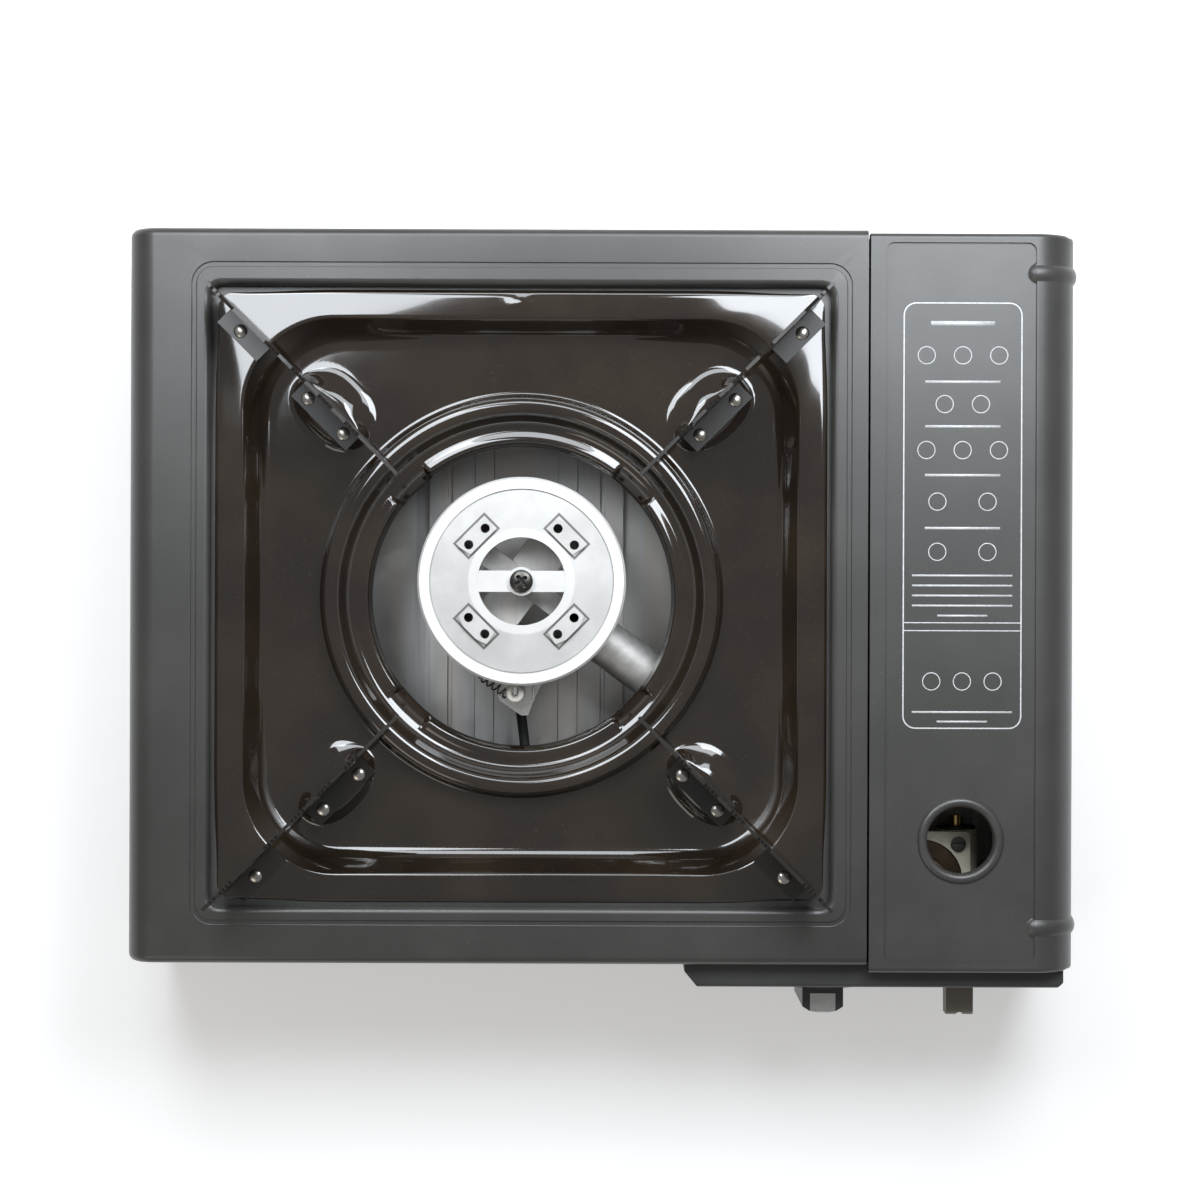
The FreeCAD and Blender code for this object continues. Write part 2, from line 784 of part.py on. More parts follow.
# Drip pan and pot supports


def pan_form(tag, drop):
    """Solid whose upper surface is the pan's, lowered by a distance."""
    half = "pan_half"
    form = new_body("pan_form" + tag)
    base = "pan_floor - collar_drop - " + drop
    outer = ("pan_x - " + half, "pan_y - " + half, "pan_x + " + half, "pan_y + " + half)
    pad(form, rounded(sketch_on(form, "XY_Plane", base), *outer, "pan_corner"),
        "pan_top - pan_floor + collar_drop")
    upper = "(pan_half - pan_band)"
    lower = "(pan_half - pan_band - pan_slope)"
    rim = rounded(sketch_on(form, "XY_Plane", "pan_top - " + drop), "pan_x - " + upper,
                  "pan_y - " + upper, "pan_x + " + upper, "pan_y + " + upper, "pan_recess_corner")
    floor = rounded(sketch_on(form, "XY_Plane", "pan_floor - " + drop), "pan_x - " + lower,
                    "pan_y - " + lower, "pan_x + " + lower, "pan_y + " + lower, "pan_floor_corner")
    recess = form.newObject("PartDesign::SubtractiveLoft", "pan_recess" + tag)
    recess.Profile = rim
    recess.Sections = [floor]
    recess.Ruled = True
    collar = new_body("collar_form" + tag)
    low = "pan_floor - " + drop
    crest = low + " + collar_height"
    profile = [("hole_radius", "pan_floor - collar_drop - " + drop), ("collar_foot", "pan_floor - collar_drop - " + drop),
               ("collar_foot", low), ("collar_crest + collar_flat", crest),
               ("collar_crest - collar_flat", crest), ("hole_radius", crest + " - collar_drop")]
    revolve(collar, polygon(sketch_on(collar, "XZ_Plane"), profile))
    move(collar, "pan_x", "pan_y", "0")
    hole = rod("pan_hole" + tag, "z", "pan_x", "pan_y", "pan_floor - collar_drop - 5",
               "collar_crest", "collar_drop + 30")
    parts = [collar]
    for i, (u, w) in enumerate(((1, 1), (-1, 1), (-1, -1), (1, -1))):
        bump = DOC.addObject("Part::Ellipsoid", "bump%s%d" % (tag, i))
        drive(bump, Radius1="bump_height * 1.6", Radius2="bump_length / 2", Radius3="bump_width / 2")
        x = "pan_x + %d * bump_radius * cos(45)" % u
        y = "pan_y + %d * bump_radius * cos(45)" % w
        bump.Placement = FreeCAD.Placement(V(), Turn(V(0, 0, 1), 45 if u == w else -45))
        move(bump, x, y, low)
        trim = box("bump_trim%s%d" % (tag, i), x + " - bump_length", y + " - bump_length",
                   low + " - pan_sheet", x + " + bump_length", y + " + bump_length",
                   low + " + bump_height")
        parts.append(common("bump_top%s%d" % (tag, i), bump, trim))
    return cut("pan_solid" + tag, fuse("pan_sum" + tag, cut("pan_bore" + tag, form, hole), *parts),
               rod("pan_clear" + tag, "z", "pan_x", "pan_y", "pan_floor - collar_drop - 5",
                   "hole_radius", "collar_drop + 30"))


def arm_spots():
    """Name, turn and side of the turned foot for each support arm."""
    return [("support_arm_rear_right", 45, -1), ("support_arm_rear_left", 135, 1),
            ("support_arm_front_left", 225, 1), ("support_arm_front_right", 315, -1)]


def rivet_spots():
    """Distance from the pan's centre and seat height of each arm's rivets."""
    middle = "(inner_foot_start + inner_foot_end) / 2"
    outer = "(outer_foot_start + arm_outer) / 2"
    return [(middle + " - 9", "bump_top"), (middle + " + 9", "bump_top"), (outer, "pan_top")]


def make_drip_pan():
    """Pressed pan of one sheet, pierced for the rivets of the arms."""
    skin = cut("pan_skin", pan_form("_a", "0"), pan_form("_b", "pan_sheet"))
    holes = []
    for name, angle, side in arm_spots():
        for i, (reach, seat) in enumerate(rivet_spots()):
            y = "%d * (arm_sheet + foot_flange) / 2" % side
            hole = rod("%s_hole%d" % (name, i), "z", reach, y, seat + " - 3", "rivet_radius", "6")
            holes.append(swing(group("%s_pierce%d" % (name, i), [hole]), "pan_x", "pan_y", str(angle)))
    keep("drip_pan", cut("drip_pan", skin, *holes))


def make_support_arms():
    """Four pressed arms: an arched blade with groups of teeth and two turned feet."""
    rivets = []
    for name, angle, side in arm_spots():
        blade = new_body(name + "_blade")
        top = "support_top"
        outline = [("arm_inner", top), ("arm_inner", top + " - arm_tip_depth"),
                   ("inner_foot_start - 3", "bump_top + 5"), ("inner_foot_start", "bump_top"),
                   ("inner_foot_end", "bump_top"), ("inner_foot_end + 2", "bump_top + 6"),
                   ("inner_foot_end + 6", top + " - arm_web"),
                   ("outer_foot_start - 6", top + " - arm_web"),
                   ("outer_foot_start", "pan_top"), ("arm_outer", "pan_top"),
                   ("arm_outer", top + " - 12"), ("arm_outer + arm_stop", top + " - 8"),
                   ("arm_outer + arm_stop", top), ("arm_outer + 1.8", top),
                   ("arm_outer + 0.8", top + " - 1.5"), ("arm_outer - 0.5", top + " - 1.5"),
                   ("arm_outer - 1.5", top)]
        pad(blade, polygon(sketch_on(blade, "XZ_Plane", "-arm_sheet / 2"), outline), "arm_sheet")
        groups = (("outer_foot_start - 5 - tooth_group * 3", 4), ("arm_outer - 6", 1))
        for start, repeats in groups:
            notch = sketch_on(blade, "XZ_Plane", "-arm_sheet")
            polygon(notch, [(start + " - tooth_pitch / 2 - tooth_pitch * 1.5", top + " + 0.01"),
                            (start + " - tooth_pitch * 1.5", top + " - tooth_depth"),
                            (start + " + tooth_pitch / 2 - tooth_pitch * 1.5", top + " + 0.01")])
            cutter = pocket(blade, notch, "arm_sheet * 2", back=True)
            rows = blade.newObject("PartDesign::LinearPattern", name + "_teeth")
            rows.Originals = [cutter]
            rows.Direction = (notch, ["H_Axis"])
            rows.Occurrences = 4
            drive(rows, Length="tooth_pitch * 3")
            if repeats > 1:
                rows.Direction2 = (notch, ["H_Axis"])
                rows.Occurrences2 = repeats
                drive(rows, Length2="tooth_group * %d" % (repeats - 1))
            blade.Tip = rows
        near = "arm_sheet / 2" if side > 0 else "-arm_sheet / 2 - foot_flange"
        far = "arm_sheet / 2 + foot_flange" if side > 0 else "-arm_sheet / 2"
        inner = box(name + "_inner_foot", "inner_foot_start", near, "bump_top", "inner_foot_end", far,
                    "bump_top + arm_sheet")
        outer = box(name + "_outer_foot", "outer_foot_start", near, "pan_top", "outer_foot_end", far,
                    "pan_top + arm_sheet")
        holes = []
        for i, (reach, seat) in enumerate(rivet_spots()):
            y = "%d * (arm_sheet + foot_flange) / 2" % side
            holes.append(rod("%s_bore%d" % (name, i), "z", reach, y, seat + " - 1", "rivet_radius",
                             "arm_sheet + 2"))
            shank = rod("%s_shank%d" % (name, i), "z", reach, y, seat + " - pan_sheet",
                        "rivet_radius", "arm_sheet + pan_sheet + rivet_rise / 2")
            dome = DOC.addObject("Part::Ellipsoid", "%s_dome%d" % (name, i))
            drive(dome, Radius1="rivet_rise", Radius2="rivet_head", Radius3="rivet_head")
            dome.Angle1 = 0
            move(dome, reach, y, seat + " + arm_sheet")
            rivet = fuse("%s_rivet%d" % (name, i), shank, dome)
            rivets.append(swing(rivet, "pan_x", "pan_y", str(angle)))
        arm = cut(name, fuse(name + "_form", blade, inner, outer), *holes)
        keep(name, swing(arm, "pan_x", "pan_y", str(angle)))
    keep("arm_rivets", group("arm_rivets", rivets))


# Burner


def make_burner_cap():
    """Cast cap: bright rim, raised ring, four pierced pads and a crossbar."""
    cap = new_body("cap_form")
    z = "cap_top"
    profile = [("cap_opening", z + " - cap_wall"), ("cap_opening", z + " + 0.4"),
               ("cap_opening + cap_lip", z + " + 0.4"), ("cap_opening + cap_lip + 0.8", z),
               ("cap_radius - cap_rim - 0.5", z + " - 1.2"), ("cap_radius - cap_rim - 0.5", z + " - 1.8"),
               ("cap_radius - cap_rim", z + " - 1.8"), ("cap_radius - cap_rim", z + " - 0.8"),
               ("cap_radius - 0.8", z + " - 0.8"), ("cap_radius", z + " - 1.8"),
               ("cap_radius", "cap_seat + 1"), ("cap_radius - 1", "cap_seat"),
               ("cap_radius - 5", "cap_seat"), ("cap_radius - 5", z + " - cap_wall - 1"),
               ("cap_opening + 3", z + " - cap_wall")]
    revolve(cap, polygon(sketch_on(cap, "XZ_Plane"), profile))
    bar = sketch_on(cap, "XY_Plane", z + " - cap_wall")
    polygon(bar, [("-cap_opening - 1", "-crossbar_width / 2"), ("cap_opening + 1", "-crossbar_width / 2"),
                  ("cap_opening + 1", "crossbar_width / 2"), ("-cap_opening - 1", "crossbar_width / 2")])
    pad(cap, bar, "cap_wall")
    pad(cap, circle(sketch_on(cap, "XY_Plane", z + " - cap_wall"), "0", "0", "boss_radius"),
        "cap_wall + 0.6")
    pocket(cap, circle(sketch_on(cap, "XY_Plane", z + " + 2"), "0", "0", "screw_radius"), None)
    port = sketch_on(cap, "XZ_Plane", "-cap_radius - 1")
    polygon(port, [("-port_width / 2", "cap_seat + 1.2"), ("port_width / 2", "cap_seat + 1.2"),
                   ("port_width / 2", "cap_seat + 4"), ("-port_width / 2", "cap_seat + 4")])
    slot = pocket(cap, port, "8", back=False)
    slot.Reversed = True
    DOC.recompute()
    ring = cap.newObject("PartDesign::PolarPattern", "cap_ports")
    ring.Originals = [slot]
    ring.Axis = (sketch_on(cap, "XY_Plane"), ["N_Axis"])
    ring.Angle = 360
    drive(ring, Occurrences="port_count")
    cap.Tip = ring
    move(cap, "pan_x", "burner_y", "0")
    pads = []
    holes = []
    for i in range(4):
        angle = str(45 + 90 * i)
        arc = "pad_length / 2 / pad_radius * 180 / pi"
        block = new_body("cap_pad%d" % i)
        ring_sketch = sketch_on(block, "XY_Plane", "cap_top - 1.5")
        polygon(ring_sketch, [("pad_radius - pad_width / 2", "-pad_length * 0.42"),
                              ("pad_radius + pad_width / 2 - 1.6", "-pad_length / 2"),
                              ("pad_radius + pad_width / 2", "-pad_length * 0.2"),
                              ("pad_radius + pad_width / 2", "pad_length * 0.2"),
                              ("pad_radius + pad_width / 2 - 1.6", "pad_length / 2"),
                              ("pad_radius - pad_width / 2", "pad_length * 0.42")])
        pad(block, ring_sketch, "1.5 + pad_height")
        pads.append(swing(block, "pan_x", "burner_y", angle))
        for side in (-1, 1):
            hole = rod("pad_hole%d%d" % (i, side + 1), "z", "pad_radius - 0.3",
                       "%d * pad_length * 0.285" % side, "cap_top - cap_wall - 1", "pad_hole", "8")
            holes.append(swing(group("pad_bore%d%d" % (i, side + 1), [hole]), "pan_x", "burner_y", angle))
    keep("burner_cap", cut("burner_cap", fuse("cap_sum", cap, *pads), *holes))


def make_burner_base():
    """Cast bowl with an open middle, a bridge bar and the mixing tube."""
    bowl = new_body("bowl_form")
    r0 = "cap_opening + 0.5"
    profile = [(r0, "bowl_floor"), ("bowl_radius - 3", "bowl_floor"), ("bowl_radius", "bowl_floor + 4"),
               ("bowl_radius", "cap_seat - 1.2"), ("cap_radius - 0.5", "cap_seat - 1.2"),
               ("cap_radius - 0.5", "cap_seat"), ("bowl_radius - bowl_wall", "cap_seat"),
               ("bowl_radius - bowl_wall", "bowl_floor + 4.6"),
               ("bowl_radius - bowl_wall - 3", "bowl_floor + bowl_wall"),
               (r0 + " + bowl_wall", "bowl_floor + bowl_wall"),
               (r0 + " + bowl_wall", "cap_top - cap_wall - 0.6"), (r0, "cap_top - cap_wall - 0.6")]
    revolve(bowl, polygon(sketch_on(bowl, "XZ_Plane"), profile))
    bar = box("bridge_bar", "-cap_opening - 1.5", "-4", "bowl_floor", "cap_opening + 1.5", "4",
              "bowl_floor + 5")
    boss = rod("bridge_boss", "z", "0", "0", "bowl_floor", "boss_radius",
               "cap_top - cap_wall - bowl_floor - nest_gap")
    neck = rod("tube_neck", "z", "bowl_radius - 9", "0", "gas_z", "tube_radius",
               "bowl_floor + 1 - gas_z")
    knee = ball("tube_knee", "bowl_radius - 9", "0", "gas_z", "tube_radius")
    tube = rod("tube_outer", "x", "bowl_radius - 9", "0", "gas_z", "tube_radius",
               "tube_length - bowl_radius + 9")
    solid = fuse("burner_form", bowl, bar, boss, neck, knee, tube)
    bore = rod("tube_inner", "x", "bowl_radius - 9", "0", "gas_z", "tube_bore", "tube_length")
    turn = ball("knee_inner", "bowl_radius - 9", "0", "gas_z", "tube_bore")
    rise = rod("neck_inner", "z", "bowl_radius - 9", "0", "gas_z", "tube_bore - 0.8",
               "bowl_floor + bowl_wall + 0.5 - gas_z")
    tapped = rod("boss_bore", "z", "0", "0", "bowl_floor - 1", "screw_radius", "30")
    base = cut("burner_base", solid, bore, turn, rise, tapped)
    keep("burner_base", swing(base, "pan_x", "burner_y", "-tube_angle"))


def make_burner_trim():
    """Cap screw, air shutter on the tube's mouth and the bracket under the bowl."""
    head = rod("cap_screw_head", "z", "pan_x", "burner_y", "cap_top + 0.6", "screw_head", "screw_rise")
    shank = rod("cap_screw_shank", "z", "pan_x", "burner_y", "bowl_floor", "screw_radius",
                "cap_top + 0.6 - bowl_floor")
    slots = [box("cross_slot%d" % i, "pan_x - " + a, "burner_y - " + b, "cap_top + 1.4",
                 "pan_x + " + a, "burner_y + " + b, "cap_top + 4")
             for i, (a, b) in enumerate((("2.4", "0.5"), ("0.5", "2.4")))]
    keep("burner_screw", cut("burner_screw", fuse("cap_screw", head, shank), *slots))

    start = "tube_length - 8"
    sleeve = rod("shutter_outer", "x", start, "0", "gas_z", "tube_radius + running_gap + shutter_wall",
                 "shutter_length")
    bore = rod("shutter_bore", "x", start + " - 1", "0", "gas_z", "tube_radius + running_gap",
               "shutter_length + 2")
    window = box("shutter_window", start + " + 8.8", "-4", "gas_z - 20", start + " + 11.2", "4",
                 "gas_z + 20")
    shutter = cut("air_shutter", sleeve, bore, window)
    keep("air_shutter", swing(shutter, "pan_x", "burner_y", "-tube_angle"))

    u = "bracket_span"
    w = "sheet * 2"
    top = "bowl_floor"
    z = "(shield_top + rib_rise)"
    hat = [("-(%s) - 10" % u, z), ("-(%s) + %s" % (u, w), z), ("-(%s) + %s" % (u, w), "%s - %s" % (top, w)),
           ("%s - %s" % (u, w), "%s - %s" % (top, w)), ("%s - %s" % (u, w), z), ("%s + 10" % u, z),
           ("%s + 10" % u, "%s + %s" % (z, w)), (u, "%s + %s" % (z, w)), (u, top), ("-(%s)" % u, top),
           ("-(%s)" % u, "%s + %s" % (z, w)), ("-(%s) - 10" % u, "%s + %s" % (z, w))]
    bracket = slab("bracket_form", "YZ_Plane", "-bracket_width / 2", "bracket_width", hat)
    bores = [rod("bracket_bore%d" % i, "z", "0", "%d * (bracket_span + 5.5)" % side, z + " - 1",
                 "screw_radius", "6") for i, side in enumerate((-1, 1))]
    whole = cut("burner_bracket", bracket, *bores)
    keep("burner_bracket", swing(whole, "pan_x", "burner_y", "-tube_angle"))
    screws = []
    for i, side in enumerate((-1, 1)):
        y = "%d * (bracket_span + 5.5)" % side
        low = rod("bracket_shank%d" % i, "z", "0", y, z, "screw_radius", "sheet * 2")
        cap = rod("bracket_head%d" % i, "z", "0", y, z + " + sheet * 2", "screw_head", "screw_rise")
        screws.append(swing(fuse("bracket_screw%d" % i, low, cap), "pan_x", "burner_y", "-tube_angle"))
    keep("bracket_screws", group("bracket_screws", screws))


# Ignition


def make_electrode():
    """Upright ceramic insulator on a folded bracket in front of the burner."""
    x = "electrode_px"
    y = "electrode_py"
    z0 = "pin_top - 3 - insulator_length"
    ceramic = rod("insulator_outer", "z", x, y, z0, "insulator_radius", "insulator_length")
    collar = rod("insulator_collar", "z", x, y, z0 + " + insulator_length / 2 - 2",
                 "insulator_radius + 1", "2")
    core = rod("insulator_core", "z", x, y, z0 + " - 1", "pin_radius", "insulator_length + 2")
    keep("electrode_insulator", cut("electrode_insulator", fuse("insulator_form", ceramic, collar),
                                    core))
    stem = rod("pin_stem", "z", x, y, z0, "pin_radius", "insulator_length + 2")
    bent = rod("pin_bent", "y", x, y, z0 + " + insulator_length + 2", "pin_radius",
               "electrode_y - cap_radius - 0.6")
    knee = ball("pin_knee", x, y, z0 + " + insulator_length + 2", "pin_radius")
    keep("electrode_pin", fuse("electrode_pin", stem, bent, knee))
    seat = z0 + " + insulator_length / 2"
    plan = [(x + " - 11", "burner_y - bowl_radius + 1"), (x + " - 6", y + " - 3"),
            (x + " + 2", y + " - 8.5"), (x + " + 4.6", y + " - 8.5"), (x + " + 7", y + " - 2"),
            (x + " + 12", "burner_y - bowl_radius + 2")]
    plate = slab("electrode_plate", "XY_Plane", seat, "sheet * 2", plan)
    hole = rod("electrode_plate_hole", "z", x, y, seat + " - 1", "insulator_radius + 0.05", "5")
    clear = rod("electrode_plate_clear", "z", "pan_x", "burner_y", seat + " - 1",
                "bowl_radius", "9")
    tab = box("electrode_tab", x + " + 6.2", y + " - 3", seat, x + " + 7.0", y + " + 4", seat + " + 6")
    keep("electrode_bracket", cut("electrode_bracket", fuse("electrode_form", plate, tab), hole, clear))


def cable_route():
    """Corner points of the ignition lead, insulator to igniter."""
    x = number("electrode_px")
    y = number("electrode_py")
    z = number("pin_top - 3 - insulator_length")
    wall = number("piezo_y")
    end = number("piezo_x0")
    gas = number("gas_z")
    return [V(x, y, z), V(x, y, z - 14), V(x + 3, y - 24, z - 20), V(x + 5, y - 56, gas - 9),
            V(x + 26, wall, gas), V(end, wall, gas)]


def rounded_path(spots):
    """Wire of straight runs joined by tangent arcs, and the arcs' radii."""
    edges = []
    radii = []
    here = spots[0]
    for i in range(1, len(spots) - 1):
        back = spots[i - 1] - spots[i]
        ahead = spots[i + 1] - spots[i]
        reach = 0.45 * min(back.Length, ahead.Length)
        back.normalize()
        ahead.normalize()
        opening = back.getAngle(ahead)
        radius = reach * math.tan(opening / 2)
        start = spots[i] + back * reach
        finish = spots[i] + ahead * reach
        inward = back + ahead
        inward.normalize()
        middle = spots[i] + inward * (radius / math.sin(opening / 2) - radius)
        edges.append(Part.LineSegment(here, start).toShape())
        edges.append(Part.Arc(start, middle, finish).toShape())
        radii.append(radius)
        here = finish
    edges.append(Part.LineSegment(here, spots[-1]).toShape())
    return Part.Wire(edges), radii


def make_cable():
    """High tension lead, held by two clips on the front wall."""
    spots = cable_route()
    path, radii = rounded_path(spots)
    radius = number("cable_radius")
    section = Part.Wire(Part.Circle(spots[0], V(0, 0, -1), radius).toShape())
    tube = path.makePipeShell([section], True, False)
    print("ignition lead", round(path.Length, 1), "mm, arcs", [round(r, 1) for r in radii])
    print("volume against section times length",
          round(tube.Volume / (math.pi * radius ** 2 * path.Length), 4))
    lead = DOC.addObject("Part::Feature", "ignition_cable")
    lead.Shape = tube
    keep("ignition_cable", lead)
    clips = []
    for i in range(2):
        x = "electrode_px + 52 + %d * (piezo_x0 - electrode_px - 60)" % i
        ring = rod("clip_ring%d" % i, "x", x, "piezo_y", "gas_z", "cable_radius + 1.5", "5")
        stem = box("clip_stem%d" % i, x, "wall_in", "gas_z - 1.5", x + " + 5", "piezo_y",
                   "gas_z + 1.5")
        bore = rod("clip_bore%d" % i, "x", x + " - 1", "piezo_y", "gas_z", "cable_radius", "7")
        clips.append(cut("clip%d" % i, fuse("clip_form%d" % i, ring, stem), bore))
    keep("cable_clips", group("cable_clips", clips))


def make_piezo():
    """Push igniter on the front wall, and the plunger that the spindle's cam drives."""
    case = box("piezo_case", "piezo_x0", "wall_in", "gas_z - piezo_height / 2", "piezo_x1",
               "wall_in + piezo_depth", "gas_z + piezo_height / 2")
    bore = rod("piezo_bore", "x", "piezo_x1 - plunger_tail - 6", "piezo_y", "gas_z",
               "plunger_radius + running_gap", "plunger_tail + 8")
    keep("piezo_igniter", cut("piezo_igniter", case, bore))
    stem = rod("plunger_stem", "x", "piezo_x1 - plunger_tail", "piezo_y", "gas_z", "plunger_radius",
               "plunger_tail + plunger_reach")
    keep("igniter_plunger", stem)


# Gas control


def make_valve():
    """Tap body with a bored front and a flat cheek that meets the regulator's arm."""
    y1 = "valve_y + valve_length"
    barrel = rod("valve_barrel", "y", "knob_x", "valve_y", "gas_z", "valve_radius", "valve_length")
    cheek = box("valve_cheek", "knob_x", "valve_y + 4", "gas_z - 6", "knob_x + valve_radius + 2",
                y1 + " - 2", "gas_z + 6")
    bore = rod("valve_bore", "y", "knob_x", "valve_y - 1", "gas_z", "spindle_radius + running_gap",
               "valve_length - 3")
    keep("valve_body", cut("valve_body", fuse("valve_form", barrel, cheek), bore))
    back = "valve_y + valve_length - 5"
    front = "knob_tip + 4"
    shaft = rod("spindle_shaft", "y", "knob_x", front, "gas_z", "spindle_radius",
                "(%s) - (%s)" % (back, front))
    cone = rod("spindle_groove", "y", "knob_x", back + " - 4", "gas_z", "spindle_radius + 1", "1.5")
    core = rod("spindle_neck", "y", "knob_x", back + " - 4", "gas_z", "spindle_radius - 1", "1.5")
    keep("valve_spindle", cut("valve_spindle", shaft, cut("spindle_ring", cone, core)))
    hub = rod("cam_hub_disc", "y", "knob_x", "cam_y", "gas_z", "cam_hub", "cam_width")
    finger = box("cam_finger_bar", "knob_x - 2.5", "cam_y", "gas_z", "knob_x + 2.5",
                 "cam_y + cam_width", "gas_z + cam_hub + cam_finger - 2.5")
    nose = rod("cam_nose", "y", "knob_x", "cam_y", "gas_z + cam_hub + cam_finger - 2.5", "2.5",
               "cam_width")
    hole = rod("cam_bore", "y", "knob_x", "cam_y - 1", "gas_z", "spindle_radius", "cam_width + 2")
    keep("spindle_cam", cut("spindle_cam", fuse("cam_form", hub, finger, nose), hole))


def make_knob():
    """Dial with a raised grip bar, split by a bright insert with a crowned front."""
    knob = new_body("knob_form")
    skirt = [("0", "knob_back - knob_skirt"), ("knob_radius - 1", "knob_back - knob_skirt"),
             ("knob_radius", "knob_back - knob_skirt + 1"), ("knob_radius", "knob_back"),
             ("0", "knob_back")]
    revolve(knob, polygon(sketch_on(knob, "XY_Plane"), skirt))
    crown = "knob_tip + grip_crown"
    grip = [("-grip_width / 2", "knob_back - 1"), ("-grip_width / 2", crown),
            ("-grip_width / 2 + 2.5", "knob_tip + grip_crown / 3"), ("-2", "knob_tip"), ("2", "knob_tip"),
            ("grip_width / 2 - 2.5", "knob_tip + grip_crown / 3"), ("grip_width / 2", crown),
            ("grip_width / 2", "knob_back - 1")]
    bar = sketch_on(knob, "XY_Plane", "-grip_length / 2")
    pad(knob, polygon(bar, grip), "grip_length")
    move(knob, "knob_x", "0", "gas_z")
    x0 = "knob_x - insert_width / 2"
    x1 = "knob_x + insert_width / 2"
    z0 = "gas_z - grip_length / 2 - 1"
    z1 = "gas_z + grip_length / 2 + 1"
    channel = box("insert_channel", x0, "knob_tip - 1", z0, x1, "knob_back - knob_skirt - 2", z1)
    bore = rod("knob_bore", "y", "knob_x", "knob_tip + 4", "gas_z", "spindle_radius", "12")
    keep("knob", cut("knob", knob, channel, bore))
    insert = new_body("insert_form")
    w = "insert_width / 2"
    face = [("-" + w, "knob_back - knob_skirt - 2"), ("-" + w, "knob_tip + grip_crown / 3"),
            ("-2", "knob_tip"), ("2", "knob_tip"), (w, "knob_tip + grip_crown / 3"),
            (w, "knob_back - knob_skirt - 2")]
    pad(insert, polygon(sketch_on(insert, "XY_Plane", "-grip_length / 2"), face), "grip_length")
    soften(insert, "1.2", at(y="knob_tip", z="-grip_length / 2"), at(y="knob_tip", z="grip_length / 2"))
    move(insert, "knob_x", "0", "gas_z")
    hole = rod("insert_bore", "y", "knob_x", "knob_tip + 4", "gas_z", "spindle_radius", "12")
    keep("knob_insert", cut("knob_insert", insert, hole))


